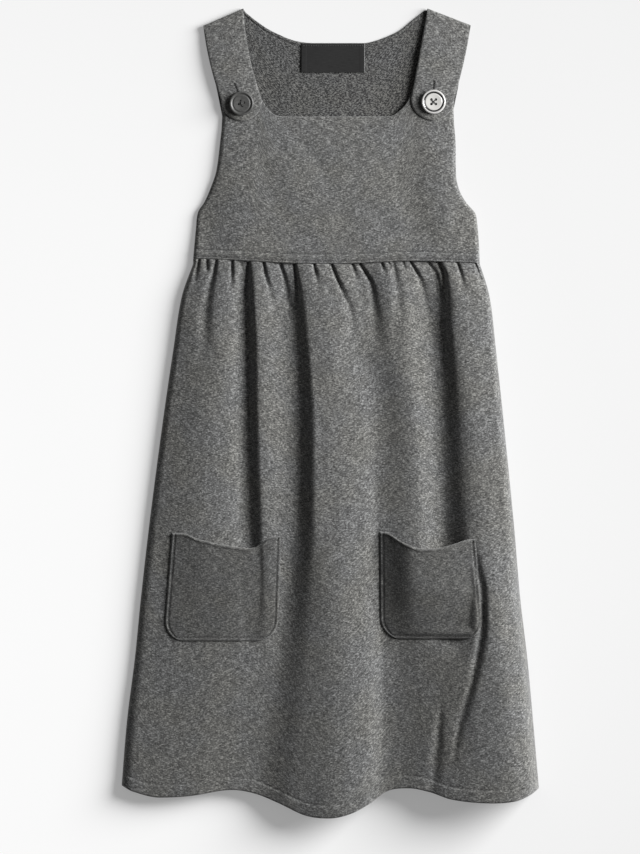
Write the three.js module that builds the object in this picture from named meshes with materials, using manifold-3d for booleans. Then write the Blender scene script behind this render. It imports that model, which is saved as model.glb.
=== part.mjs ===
// A child's sleeveless pinafore dress in grey marl jersey, laid flat on its back.
// Millimetres. The dress lies on the plane z = 0 with +Y towards the neck, +X towards the
// buttons on the right of the picture and +Z up, out of the front of the dress.
// The back panels lie flat. The front panels lie on them and rise in soft gathers and folds.

import * as THREE from 'three';
import { mergeVertices } from 'three/addons/utils/BufferGeometryUtils.js';
import Module from 'manifold-3d';

// Driving dimensions
const CLOTH = 1.8; // thickness of a front wall of jersey with its turned edges
const BACK_CLOTH = 1.6; // thickness of the back wall
const GAP = 0.3; // air between two pieces at a seam
const FRONT_FLOOR = BACK_CLOTH + GAP; // lowest level of anything that lies on the back
const WAIST_Y = 138; // where the waist seam crosses the middle of the dress
const WAIST_LEFT = -127;
const WAIST_RIGHT = 139;
const BUTTON_DIAMETER = 22.5;
const LABEL = { width: 59, height: 27, thickness: 1, middleX: 2.75, topY: 342.7 };
const POCKET_CORNER = 20; // radius of a pocket's lower corners

// Colours of the cloth, the trims and the buttons
const MARL = new THREE.MeshStandardMaterial({ color: '#6b6b69', roughness: 0.95, metalness: 0 });
const MARL_INSIDE = new THREE.MeshStandardMaterial({ color: '#5c5c5a', roughness: 0.95, metalness: 0 });
const SATIN = new THREE.MeshStandardMaterial({ color: '#262626', roughness: 0.45, metalness: 0 });
const GREY_BUTTON = new THREE.MeshStandardMaterial({ color: '#666666', roughness: 0.3, metalness: 0 });
const PEARL_BUTTON = new THREE.MeshStandardMaterial({ color: '#e6e6e4', roughness: 0.25, metalness: 0 });

// The waist seam and the hem, seen from above
const SEAM = [
  { x: WAIST_LEFT, y: 143 },
  { x: -83.5, y: 141 },
  { x: -37, y: 138.5 },
  { x: 9.5, y: WAIST_Y },
  { x: 46.5, y: 139.5 },
  { x: 74, y: 140.5 },
  { x: 111.5, y: 139.5 },
  { x: WAIST_RIGHT, y: 138.5 },
];
const HEM = [
  { x: -194.5, y: -345.5 },
  { x: -183.5, y: -351 },
  { x: -158, y: -356.5 },
  { x: -130, y: -355 },
  { x: -91, y: -349.5 },
  { x: -69.5, y: -353 },
  { x: -46.5, y: -362 },
  { x: -23, y: -372.5 },
  { x: -2, y: -375 },
  { x: 18.5, y: -371 },
  { x: 37, y: -361.5 },
  { x: 55.5, y: -349.5 },
  { x: 74, y: -347.5 },
  { x: 93, y: -351 },
  { x: 113, y: -357.5 },
  { x: 148.5, y: -360.5 },
  { x: 171.5, y: -358.5 },
  { x: 185.5, y: -353 },
  { x: 195, y: -347.5 },
];

// The long folds of the skirt. Each row is one line that runs down the skirt: where it lies
// across the skirt and how high the cloth stands there, at each distance below the waist.
// A row's parts is the number of strips between it and the next row.
const BELOW_WAIST = [0, 30, 80, 145, 240, 310, 365, 425, 500];
const FOLDS = [
  { name: 'left side', parts: 10,
    across: [-127, -137.5, -145.5, -155, -167.5, -175.5, -181, -188.5, -194.5],
    height: [8, 8, 8, 8, 8, 8.5, 9, 10, 12] },
  { name: 'left crest', parts: 4,
    across: [-98.5, -102, -106, -111.5, -118, -104, -100, -112, -124],
    height: [9, 12, 13.5, 13.5, 13.5, 12.5, 13, 13, 14.5] },
  { name: 'left fall', parts: 4,
    across: [-87, -90, -92, -92, -92, -86, -86, -92, -100],
    height: [8.5, 11, 11.5, 11, 10.5, 12, 12.5, 12.5, 13] },
  { name: 'left pocket valley', parts: 6,
    across: [-80.5, -79, -77, -77, -75, -72, -74, -80, -87],
    height: [6, 5.2, 4.6, 4.6, 4.4, 7.5, 12, 12, 12.5] },
  { name: 'ridge beside it', parts: 7,
    across: [-69.5, -69, -66.5, -65.5, -62, -60, -62, -68, -74],
    height: [9.5, 13, 14, 13.5, 12.5, 11.5, 11.5, 12, 12.5] },
  { name: 'long middle valley', parts: 5,
    across: [-38, -35.5, -31, -29, -31, -40, -48, -56, -64],
    height: [6.5, 6, 5.6, 5.6, 6.4, 8, 11, 12.5, 13] },
  { name: 'shoulder of the main crest', parts: 5,
    across: [-29.5, -24.5, -18, -13.5, -13, -17.5, -20.5, -26, -34],
    height: [8.5, 13, 15, 16.5, 17.5, 18.5, 20.5, 21.5, 21.5] },
  { name: 'main crest', parts: 8,
    across: [-16.5, -9.5, -2, 6, 8, 8, 9, 12, 12],
    height: [9.5, 14, 15.5, 16, 18, 22.5, 25, 27, 29] },
  { name: 'right slope of the main crest', parts: 7,
    across: [9.5, 14, 16, 28, 30, 31, 34, 34, 32],
    height: [9, 12, 12.5, 12.5, 14.5, 18, 21.5, 23.5, 26] },
  { name: 'broad right valley', parts: 8,
    across: [28, 32, 35, 44, 44, 47, 50, 50, 50],
    height: [7, 8, 9, 8.5, 9.5, 11, 14, 16, 18.5] },
  { name: 'long slope right of it', parts: 8,
    across: [54, 60, 68, 76, 81, 82, 92, 94, 96],
    height: [9, 12, 13.5, 13.8, 14.2, 18, 22, 25, 27.5] },
  { name: 'right pocket valley', parts: 5,
    across: [98.5, 100, 103, 104, 106, 110, 118, 122, 122],
    height: [6, 4.4, 4.2, 4.4, 4.6, 11, 28, 32, 33.5] },
  { name: 'shoulder of the right crest', parts: 5,
    across: [106, 110.5, 116, 121, 127, 132, 138, 138, 140],
    height: [9, 13, 15.5, 15.5, 17, 27, 34, 36, 37] },
  { name: 'right crest', parts: 9,
    across: [112, 119, 128, 136, 145, 152, 156, 162, 168],
    height: [9.6, 15, 17, 18, 20, 30.5, 36.5, 38.5, 40] },
  { name: 'right side', parts: 0,
    across: [139, 148, 154, 161, 170.5, 176.5, 183, 188.5, 195],
    height: [8.5, 13, 14, 15, 16.5, 22, 27, 29, 33] },
];

// The gathers that start at the waist seam and fade on the way down
const GATHERS = [
  { x: -121.5, endX: -126, length: 29, depth: 2.2, width: 2.4 },
  { x: -105.5, endX: -116, length: 90, depth: 3.4, width: 3.6 },
  { x: -91, endX: -87, length: 40, depth: 2.8, width: 2.8 },
  { x: -62, endX: -50, length: 60, depth: 3, width: 2.8 },
  { x: -46.5, endX: -34.5, length: 60, depth: 3, width: 2.8 },
  { x: -15, endX: -11, length: 30, depth: 2.4, width: 2.6 },
  { x: 1, endX: 21, length: 80, depth: 3.6, width: 3 },
  { x: 20.5, endX: 25, length: 16, depth: 2, width: 2.4 },
  { x: 27, endX: 39, length: 60, depth: 3.6, width: 3.2 },
  { x: 47.5, endX: 51, length: 14, depth: 2, width: 2.4 },
  { x: 58.5, endX: 64, length: 80, depth: 1.8, width: 3.5 },
  { x: 68, endX: 70, length: 10, depth: 1.8, width: 2.2 },
  { x: 74, endX: 94, length: 80, depth: 3, width: 3 },
  { x: 90, endX: 104, length: 38, depth: 3, width: 2.8 },
  { x: 118, endX: 124, length: 34, depth: 2.4, width: 2.8 },
  { x: 134.5, endX: 144, length: 44, depth: 2, width: 2.8 },
];
const TUCK = { depth: 1.4, length: 3 }; // the skirt's top edge dips under the bodice's edge
// Width over which each side turns down
const SIDE_ROLLS = { left: { atWaist: 5, perLength: 0.012 }, right: { atWaist: 5, perLength: 0.015 } };
const LEAST_RISE = CLOTH + 0.1; // the least the skirt's outer face stands above its floor
const GATHER_FADE = 1.5; // above 1 keeps a gather deep for most of its length
const SIDE_CROWDING = 1.7; // crowds the columns towards the skirt's two sides
const SKIRT_ROWS = [0, 0.007, 0.018, 0.032, 0.05, 0.075, 0.11, 0.155, 0.21, 0.28, 0.36, 0.44,
  0.51, 0.58, 0.65, 0.72, 0.79, 0.86, 0.93, 1];

// The bodice front: its sides from the waist up, and its top edge with the scooped neck
const BODICE_LEFT = [
  { x: WAIST_LEFT, y: 143 },
  { x: -124.5, y: 170 },
  { x: -122.5, y: 186 },
  { x: -116.5, y: 195.5 },
  { x: -110, y: 210.5 },
  { x: -105.5, y: 224.5 },
  { x: -102, y: 251 },
  { x: -100, y: 273 },
  { x: -102.5, y: 300 },
];
const BODICE_RIGHT = [
  { x: WAIST_RIGHT, y: 138.5 },
  { x: 138, y: 160 },
  { x: 136, y: 180.5 },
  { x: 134.5, y: 185.5 },
  { x: 126, y: 195.5 },
  { x: 120, y: 206.5 },
  { x: 117, y: 220.5 },
  { x: 116.5, y: 251 },
  { x: 114.5, y: 280 },
  { x: 116, y: 302 },
];
const BODICE_TOP = [
  { x: -102.5, y: 300 },
  { x: -94, y: 301.5 },
  { x: -85, y: 302 },
  { x: -76, y: 301.5 },
  { x: -67.5, y: 300 },
  { x: -65, y: 294 },
  { x: -62.5, y: 289 },
  { x: -58.5, y: 283 },
  { x: -54, y: 278 },
  { x: -48.5, y: 275.2 },
  { x: -40, y: 274.5 },
  { x: -25, y: 274.5 },
  { x: -10, y: 274.5 },
  { x: 5, y: 274.5 },
  { x: 20, y: 274.5 },
  { x: 35, y: 274.5 },
  { x: 49, y: 274.5 },
  { x: 57.5, y: 275.5 },
  { x: 63, y: 279 },
  { x: 67.5, y: 283 },
  { x: 72, y: 289 },
  { x: 75.5, y: 296 },
  { x: 78.5, y: 302 },
  { x: 88, y: 303.5 },
  { x: 97, y: 304 },
  { x: 107, y: 303.5 },
  { x: 116, y: 302 },
];
const BODICE_ROWS = [0, 0.05, 0.12, 0.2, 0.27, 0.33, 0.4, 0.5, 0.6, 0.7, 0.8, 0.9, 1];
const BODICE_RISE = [
  { y: 139, height: 9.2 },
  { y: 160, height: 9 },
  { y: 200, height: 8.4 },
  { y: 250, height: 6.2 },
  { y: 275, height: 5.2 },
  { y: 304, height: 5 },
];
// Shallow hollows in the bodice; a hollow of negative depth is a swelling
const BODICE_HOLLOWS = [
  { x: -120, y: 190, depth: 4, width: 24, length: 60 },
  { x: 101, y: 225, depth: -1.6, width: 15, length: 30 },
  { x: 110, y: 178, depth: -2, width: 16, length: 26 },
  { x: -60, y: 170, depth: 0.7, width: 24, length: 16 },
  { x: 25, y: 225, depth: 0.6, width: 40, length: 12 },
];
const BODICE_ROLL = 6.5; // width over which each side of the bodice turns down

// The back panels: neckline, and the sides up to the shoulders
const BACK_NECK = [
  { x: -78.6, y: 371.6 },
  { x: -68.5, y: 363.5 },
  { x: -57.5, y: 356 },
  { x: -46.5, y: 350.5 },
  { x: -35.5, y: 346 },
  { x: -24, y: 343.6 },
  { x: -13, y: 343 },
  { x: 9, y: 343 },
  { x: 31.5, y: 343 },
  { x: 42.5, y: 345.2 },
  { x: 54, y: 349.5 },
  { x: 65, y: 355 },
  { x: 76, y: 364 },
  { x: 87.4, y: 373 },
];
const BACK_LEFT = [
  { x: -126.5, y: 143 },
  { x: -124, y: 170 },
  { x: -122, y: 186 },
  { x: -115.8, y: 195.5 },
  { x: -109.3, y: 210.5 },
  { x: -104.8, y: 224.5 },
  { x: -101.3, y: 251 },
  { x: -100, y: 275 },
  { x: -104, y: 295 },
  { x: -108.5, y: 316 },
  { x: -112, y: 337 },
];
const BACK_RIGHT = [
  { x: 138.5, y: 138.5 },
  { x: 137.5, y: 160 },
  { x: 135.5, y: 180.5 },
  { x: 134, y: 185.5 },
  { x: 125.4, y: 195.5 },
  { x: 119.4, y: 206.5 },
  { x: 116.4, y: 220.5 },
  { x: 116, y: 251 },
  { x: 114.5, y: 281 },
  { x: 118.5, y: 300 },
  { x: 122, y: 322 },
  { x: 125.5, y: 340 },
];
const BACK_HEM_Y = -343;
// Steps along each line of a back panel's outline
const OUTLINE_STEPS = { skirtSeam: 12, bodiceSeam: 8, side: 24, neck: 28 };
const BACK_INSET = 0.4; // how far the skirt back keeps inside the front's sides
const HORN_CLEARANCE = 0.5; // keeps the back's shoulder points clear of the straps

// The straps: the two ends of the fold at the shoulder, the round tip at the button and how
// far each edge bows sideways on the way
const STRAPS = {
  left: {
    foldLeft: { x: -117.5, y: 359 }, foldRight: { x: -80.5, y: 375 },
    tip: { x: -82, y: 289.5 }, tipRadius: 19, bowLeft: -2.2, bowRight: -3.2,
    liftLeft: 0.4, liftRight: 0,
  },
  right: {
    foldLeft: { x: 90.5, y: 375 }, foldRight: { x: 130.5, y: 359.5 },
    tip: { x: 95, y: 291 }, tipRadius: 20, bowLeft: 0.2, bowRight: 1.4,
    liftLeft: 2.2, liftRight: 0,
  },
};
const STRAP_FOLD_RADIUS = 3.4;
const STRAP_BACK_LENGTH = 6; // how far the folded strap reaches on to the back layer
const STRAP_RISE = [
  { part: 0, height: 2 * STRAP_FOLD_RADIUS },
  { part: 0.2, height: 9.4 },
  { part: 0.5, height: 11 },
  { part: 0.8, height: 8.2 },
  { part: 1, height: 7.7 },
];
const STRAP_CROWN = 0.6; // how much lower a strap's edges lie than its middle
const STRAP_COLUMNS = 8;
const STRAP_ROWS = [0.12, 0.23, 0.34, 0.45, 0.56, 0.67, 0.78, 0.89]; // parts of its length
const STRAP_ROUND_STEPS = 6; // in the fold and in the tip
const STRAP_TIP_ANGLE = 80; // degrees of each side of the round tip

// The pockets: side edges, mouth and how far the cloth stands off the skirt
const POCKETS = {
  left: {
    left: { topX: -146.5, bottomX: -154.5 }, right: { topX: -45.5, bottomX: -48.5 },
    bottomY: -211.5, bulge: 3.5,
    mouth: [
      { x: -146.5, y: -111.5 }, { x: -136.5, y: -111.5 }, { x: -123.5, y: -116.5 },
      { x: -106, y: -121 }, { x: -86.5, y: -124.5 }, { x: -74, y: -125.5 },
      { x: -64, y: -122 }, { x: -54, y: -115.5 }, { x: -45.5, y: -114.5 },
    ],
  },
  right: {
    left: { topX: 46, bottomX: 46.5 }, right: { topX: 134.5, bottomX: 142 },
    bottomY: -209.5, bulge: 9,
    mouth: [
      { x: 46, y: -110.5 }, { x: 53, y: -111 }, { x: 62, y: -116.5 },
      { x: 75, y: -123.5 }, { x: 87, y: -126 }, { x: 99.5, y: -125.5 },
      { x: 116, y: -121 }, { x: 127, y: -117.5 }, { x: 134.5, y: -117 },
    ],
  },
};
// How a pocket's bulge is shared out from its left edge to its right one
const BULGE_SHAPE = [
  { u: 0, share: 0 },
  { u: 0.1, share: 0.4 },
  { u: 0.3, share: 1 },
  { u: 0.6, share: 0.8 },
  { u: 0.85, share: 0.4 },
  { u: 1, share: 0 },
];
const BULGE_FADE_POWER = 3; // the bulge keeps to the upper part and ends at the bottom seam
const POCKET_STAND_OFF = 0.7; // air between a pocket and the skirt, measured upwards
const POCKET_COLUMNS = 20;
const POCKET_ROWS = 12;
const POCKET_ROW_CROWDING = 1.5; // crowds the rows towards the round corners
const POCKET_SOFTNESS = 1.5; // rounds the cloth where it leaves a ridge for a valley

// Buttons: a rim, a groove and a dished middle, as distances from the centre
const BUTTON_PROFILE = [
  { radius: 0, z: 0 },
  { radius: 0.78, z: 0 },
  { radius: 0.94, z: 0.9 },
  { radius: 1, z: 2 },
  { radius: 0.96, z: 2.8 },
  { radius: 0.88, z: 3 },
  { radius: 0.8, z: 2.5 },
  { radius: 0.74, z: 2.1 },
  { radius: 0.68, z: 2.3 },
  { radius: 0.4, z: 2 },
  { radius: 0, z: 1.9 },
];
const BUTTON_SEGMENTS = 28;
const BUTTON_THICKNESS = 3;
const BUTTONS = {
  left: { x: -82, y: 286.5, holeSpacing: 3.6, turn: -30 },
  right: { x: 96, y: 288, holeSpacing: 4.4, turn: 0 },
};
const THREAD_HOLE_DIAMETER = 1.9;
const THREAD_HOLE_SEGMENTS = 10;
// Where a button's seat is measured: parts of the strap's width and of its length
const SEAT_SAMPLES = { across: [0.2, 0.5, 0.8], along: [0.84, 0.92, 1] };

// A smooth line through points that never overshoots them
function smooth(stations, values, at) {
  const last = stations.length - 1;
  if (at <= stations[0]) return values[0];
  if (at >= stations[last]) return values[last];
  let k = 0;
  while (at > stations[k + 1]) k += 1;
  const rise = (n) => (values[n + 1] - values[n]) / (stations[n + 1] - stations[n]);
  const slope = (n) => {
    if (n === 0) return rise(0);
    if (n === last) return rise(last - 1);
    const before = rise(n - 1);
    const after = rise(n);
    if (before * after <= 0) return 0;
    const central = (values[n + 1] - values[n - 1]) / (stations[n + 1] - stations[n - 1]);
    return Math.sign(central) * Math.min(Math.abs(central), 3 * Math.abs(before), 3 * Math.abs(after));
  };
  const span = stations[k + 1] - stations[k];
  const t = (at - stations[k]) / span;
  const startWeight = 2 * t ** 3 - 3 * t ** 2 + 1;
  const endWeight = 1 - startWeight;
  return startWeight * values[k] + endWeight * values[k + 1]
    + span * (t ** 3 - 2 * t ** 2 + t) * slope(k) + span * (t ** 3 - t ** 2) * slope(k + 1);
}

const lineY = (points, x) => smooth(points.map((p) => p.x), points.map((p) => p.y), x);
const lineX = (points, y) => smooth(points.map((p) => p.y), points.map((p) => p.x), y);
const mix = (a, b, t) => a + (b - a) * t;
const clamp01 = (t) => Math.min(1, Math.max(0, t));

// Height factor of a rounded edge, from 0 at the edge to 1 at the inner end of the turn
const edgeTurn = (distance, width) => Math.sqrt(1 - (1 - clamp01(distance / width)) ** 2);

// A closed wall of cloth. The grid holds the outer points row by row, from the neck down and
// from left to right. The inner points lie one thickness behind them.
function clothWall(grid, thickness) {
  const rows = grid.length;
  const columns = grid[0].length;
  const point = (j, i) => grid[Math.min(rows - 1, Math.max(0, j))][Math.min(columns - 1, Math.max(0, i))];
  const positions = [];
  const outerIndex = (j, i) => j * columns + i;
  const innerIndex = (j, i) => rows * columns + outerIndex(j, i);
  const inner = [];
  for (let j = 0; j < rows; j += 1) {
    for (let i = 0; i < columns; i += 1) {
      const here = point(j, i);
      const across = new THREE.Vector3().subVectors(point(j, i + 1), point(j, i - 1));
      const down = new THREE.Vector3().subVectors(point(j + 1, i), point(j - 1, i));
      const outward = new THREE.Vector3().crossVectors(down, across).normalize();
      if (here.turnedEdge) {
        const side = i === 0 ? 1 : -1;
        outward.set(side * down.y, -side * down.x, 0).normalize();
      }
      positions.push(here.x, here.y, here.z);
      inner.push(here.x - outward.x * thickness, here.y - outward.y * thickness,
        here.z - outward.z * thickness);
    }
  }
  positions.push(...inner);
  const faces = [];
  for (let j = 0; j < rows - 1; j += 1) {
    for (let i = 0; i < columns - 1; i += 1) {
      const corners = [[j, i], [j + 1, i], [j + 1, i + 1], [j, i + 1]];
      const [a, d, c, b] = corners.map(([r, s]) => outerIndex(r, s));
      faces.push(a, d, c, a, c, b);
      const [e, h, g, f] = corners.map(([r, s]) => innerIndex(r, s));
      faces.push(e, g, h, e, f, g);
    }
  }
  const rim = [];
  for (let j = 0; j < rows - 1; j += 1) rim.push([j, 0]);
  for (let i = 0; i < columns - 1; i += 1) rim.push([rows - 1, i]);
  for (let j = rows - 1; j > 0; j -= 1) rim.push([j, columns - 1]);
  for (let i = columns - 1; i > 0; i -= 1) rim.push([0, i]);
  rim.forEach(([j, i], k) => {
    const [nextJ, nextI] = rim[(k + 1) % rim.length];
    const [p, q] = [outerIndex(j, i), outerIndex(nextJ, nextI)];
    const [pInner, qInner] = [innerIndex(j, i), innerIndex(nextJ, nextI)];
    faces.push(q, p, pInner, q, pInner, qInner);
  });
  const geometry = new THREE.BufferGeometry();
  geometry.setAttribute('position', new THREE.Float32BufferAttribute(positions, 3));
  geometry.setIndex(faces);
  geometry.computeVertexNormals();
  return geometry;
}

// A flat panel with the given outline, its lower face at the given level
function flatPanel(outline, thickness, level) {
  const shape = new THREE.Shape(outline.map((p) => new THREE.Vector2(p.x, p.y)));
  const geometry = new THREE.ExtrudeGeometry(shape, { depth: thickness, bevelEnabled: false });
  geometry.translate(0, 0, level);
  return geometry;
}

// Points along a table of points, on the smooth line through it
function alongX(points, steps) {
  const first = points[0].x;
  const last = points[points.length - 1].x;
  return Array.from({ length: steps + 1 }, (_, k) => {
    const x = mix(first, last, k / steps);
    return { x, y: lineY(points, x) };
  });
}

function alongY(points, steps) {
  const first = points[0].y;
  const last = points[points.length - 1].y;
  return Array.from({ length: steps + 1 }, (_, k) => {
    const y = mix(first, last, k / steps);
    return { x: lineX(points, y), y };
  });
}

// The skirt: fold lines at a distance below the waist, and the height of the cloth
const foldX = (fold, below) => smooth(BELOW_WAIST, fold.across, below);
const foldHeight = (fold, below) => smooth(BELOW_WAIST, fold.height, below);

function gatherDepth(x, below) {
  return GATHERS.reduce((sum, gather) => {
    const t = below / gather.length;
    if (t >= 1) return sum;
    const middle = mix(gather.x, gather.endX, t);
    return sum + gather.depth * (1 - t ** GATHER_FADE) * Math.exp(-(((x - middle) / gather.width) ** 2));
  }, 0);
}

function skirtHeight(x, y) {
  const below = Math.max(0, WAIST_Y - y);
  const lines = FOLDS.map((fold) => foldX(fold, below));
  const heights = FOLDS.map((fold) => foldHeight(fold, below));
  const rollWidth = (roll) => roll.atWaist + roll.perLength * below;
  const turn = edgeTurn(x - lines[0], rollWidth(SIDE_ROLLS.left))
    * edgeTurn(lines[lines.length - 1] - x, rollWidth(SIDE_ROLLS.right));
  const belowSeam = lineY(SEAM, x) - y;
  const tuck = TUCK.depth * Math.exp(-((belowSeam / TUCK.length) ** 2));
  const level = smooth(lines, heights, x) - gatherDepth(x, Math.max(0, belowSeam)) - tuck;
  return FRONT_FLOOR + Math.max(level - FRONT_FLOOR, LEAST_RISE) * turn;
}

// Strips across the skirt: each is a fold line and a part of the way to the next
function skirtColumns() {
  const columns = [];
  FOLDS.forEach((fold, k) => {
    for (let n = 0; n < fold.parts; n += 1) {
      let t = n / fold.parts;
      if (k === 0) t **= SIDE_CROWDING;
      if (k === FOLDS.length - 2) t = 1 - (1 - t) ** SIDE_CROWDING;
      columns.push({ fold: k, t });
    }
  });
  columns.push({ fold: FOLDS.length - 2, t: 1 });
  return columns;
}

function skirtFront() {
  const columns = skirtColumns();
  const columnX = (column, below) => (
    mix(foldX(FOLDS[column.fold], below), foldX(FOLDS[column.fold + 1], below), column.t));
  const fullLength = BELOW_WAIST[BELOW_WAIST.length - 1];
  const grid = SKIRT_ROWS.map((part) => columns.map((column, i) => {
    const top = lineY(SEAM, columnX(column, 0)) - GAP / 2;
    const bottom = lineY(HEM, columnX(column, fullLength));
    const y = mix(top, bottom, part);
    const x = columnX(column, Math.max(0, WAIST_Y - y));
    const onSide = i === 0 || i === columns.length - 1;
    const point = new THREE.Vector3(x, y, onSide ? FRONT_FLOOR : skirtHeight(x, y));
    point.turnedEdge = onSide;
    return point;
  }));
  return clothWall(grid, CLOTH);
}

function skirtBack() {
  const top = alongX(SEAM, OUTLINE_STEPS.skirtSeam).map((p) => ({ x: p.x, y: p.y - GAP / 2 }));
  const side = (fold, direction) => BELOW_WAIST.slice(1, -1).map((below) => (
    { x: foldX(fold, below) + direction * BACK_INSET, y: WAIST_Y - below }));
  const left = FOLDS[0];
  const right = FOLDS[FOLDS.length - 1];
  const end = WAIST_Y - BACK_HEM_Y;
  return flatPanel([
    ...top,
    ...side(right, -1),
    { x: foldX(right, end) - BACK_INSET, y: BACK_HEM_Y },
    { x: foldX(left, end) + BACK_INSET, y: BACK_HEM_Y },
    ...side(left, 1).reverse(),
  ], BACK_CLOTH, 0);
}

// The bodice front is stretched between its seam, its sides and its top edge
function bodiceHeight(x, y) {
  const hollow = BODICE_HOLLOWS.reduce((sum, h) => (
    sum + h.depth * Math.exp(-(((x - h.x) / h.width) ** 2) - ((y - h.y) / h.length) ** 2)), 0);
  return smooth(BODICE_RISE.map((r) => r.y), BODICE_RISE.map((r) => r.height), y) - hollow;
}

function bodiceFront() {
  const topLeft = BODICE_TOP[0];
  const topRight = BODICE_TOP[BODICE_TOP.length - 1];
  const seamPoint = (u) => {
    const x = mix(WAIST_LEFT, WAIST_RIGHT, u);
    return { x, y: lineY(SEAM, x) + GAP / 2 };
  };
  const sidePoint = (side, v) => {
    const y = mix(side[0].y + GAP / 2, side[side.length - 1].y, v);
    return { x: lineX(side, y), y };
  };
  const grid = [...BODICE_ROWS].reverse().map((v) => BODICE_TOP.map((top, i) => {
    const u = (top.x - topLeft.x) / (topRight.x - topLeft.x);
    const seam = seamPoint(u);
    const left = sidePoint(BODICE_LEFT, v);
    const right = sidePoint(BODICE_RIGHT, v);
    const blend = (key) => mix(seam[key], top[key], v) + mix(left[key], right[key], u)
      - mix(mix(seamPoint(0)[key], seamPoint(1)[key], u), mix(topLeft[key], topRight[key], u), v);
    const x = blend('x');
    const y = blend('y');
    const fromSide = Math.min(x - left.x, right.x - x);
    const turn = edgeTurn(fromSide, BODICE_ROLL);
    const onSide = i === 0 || i === BODICE_TOP.length - 1;
    const point = new THREE.Vector3(x, y,
      onSide ? FRONT_FLOOR : FRONT_FLOOR + (bodiceHeight(x, y) - FRONT_FLOOR) * turn);
    point.turnedEdge = onSide;
    return point;
  }));
  return clothWall(grid, CLOTH);
}

// A point on a strap's fold-to-tip plan: u runs across it, part runs from the fold to the tip
function strapPlan(strap, u, part) {
  const along = Math.min(part, 1);
  const bow = 4 * along * (1 - along);
  const edge = (fold, side, sideBow) => ({
    x: mix(fold.x, strap.tip.x + side * strap.tipRadius, along) + sideBow * bow,
    y: mix(fold.y, strap.tip.y, along),
  });
  const left = edge(strap.foldLeft, -1, strap.bowLeft);
  const right = edge(strap.foldRight, 1, strap.bowRight);
  return { x: mix(left.x, right.x, u), y: mix(left.y, right.y, u) };
}

const strapLength = (strap) => Math.hypot(
  (strap.foldLeft.x + strap.foldRight.x) / 2 - strap.tip.x,
  (strap.foldLeft.y + strap.foldRight.y) / 2 - strap.tip.y,
);

function strapHeight(strap, u, part) {
  const middle = smooth(STRAP_RISE.map((r) => r.part), STRAP_RISE.map((r) => r.height), part);
  const fade = (4 * clamp01(part) * (1 - clamp01(part))) ** 2;
  const lift = fade * (strap.liftLeft * (1 - u) ** 2 + strap.liftRight * u ** 2);
  return middle + lift - STRAP_CROWN * (2 * u - 1) ** 2 * Math.min(1, 8 * part);
}

function foldedStrap(strap) {
  const across = Array.from({ length: STRAP_COLUMNS + 1 }, (_, k) => k / STRAP_COLUMNS);
  const length = strapLength(strap);
  const rowAt = (part, height) => across.map((u) => {
    const plan = strapPlan(strap, u, part);
    return new THREE.Vector3(plan.x, plan.y, height(u));
  });
  const grid = [rowAt(STRAP_BACK_LENGTH / length, () => 0)];
  for (let k = 0; k <= STRAP_ROUND_STEPS; k += 1) {
    const angle = (Math.PI * k) / STRAP_ROUND_STEPS;
    const inward = STRAP_FOLD_RADIUS * (1 - Math.sin(angle));
    grid.push(rowAt(inward / length, () => STRAP_FOLD_RADIUS * (1 - Math.cos(angle))));
  }
  STRAP_ROWS.forEach((part) => grid.push(rowAt(part, (u) => strapHeight(strap, u, part))));
  const lastAngle = THREE.MathUtils.degToRad(STRAP_TIP_ANGLE);
  for (let k = 0; k <= STRAP_ROUND_STEPS; k += 1) {
    const angle = (lastAngle * k) / STRAP_ROUND_STEPS;
    grid.push(across.map((u) => new THREE.Vector3(
      strap.tip.x + (2 * u - 1) * strap.tipRadius * Math.cos(angle),
      strap.tip.y - strap.tipRadius * Math.sin(angle),
      strapHeight(strap, u, 1),
    )));
  }
  return clothWall(grid, CLOTH);
}

// The bodice back ends where each folded strap begins
function bodiceBack() {
  const shoulder = (strap, u) => (
    strapPlan(strap, u, (STRAP_BACK_LENGTH + GAP) / strapLength(strap)));
  const { left, right } = STRAPS;
  const innerLeft = { x: shoulder(left, 1).x + HORN_CLEARANCE, y: shoulder(left, 1).y };
  const innerRight = { x: shoulder(right, 0).x - HORN_CLEARANCE, y: shoulder(right, 0).y };
  return flatPanel([
    ...alongX(SEAM, OUTLINE_STEPS.bodiceSeam).map((p) => ({
      x: THREE.MathUtils.clamp(p.x, BACK_LEFT[0].x, BACK_RIGHT[0].x), y: p.y + GAP / 2 })),
    ...alongY(BACK_RIGHT, OUTLINE_STEPS.side).slice(1),
    shoulder(right, 1),
    innerRight,
    ...alongX(BACK_NECK, OUTLINE_STEPS.neck).reverse(),
    innerLeft,
    shoulder(left, 0),
    ...alongY(BACK_LEFT, OUTLINE_STEPS.side).slice(1).reverse(),
  ], BACK_CLOTH, 0);
}

// A patch pocket lies on the skirt's points, moved out, and bridges the valleys under it
function pocketPlan(pocket, u, v) {
  const middleTop = pocket.mouth[0].y;
  const nominalY = mix(middleTop, pocket.bottomY, v);
  const aboveBottom = nominalY - pocket.bottomY;
  const cut = Math.max(0, POCKET_CORNER - aboveBottom);
  const inset = POCKET_CORNER - Math.sqrt(Math.max(0, POCKET_CORNER ** 2 - cut ** 2));
  const left = mix(pocket.left.topX, pocket.left.bottomX, v) + inset;
  const right = mix(pocket.right.topX, pocket.right.bottomX, v) - inset;
  const x = mix(left, right, u);
  const sag = lineY(pocket.mouth, x) - middleTop;
  return { x, y: nominalY + sag * (1 - v) ** 2, left, right };
}

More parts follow.
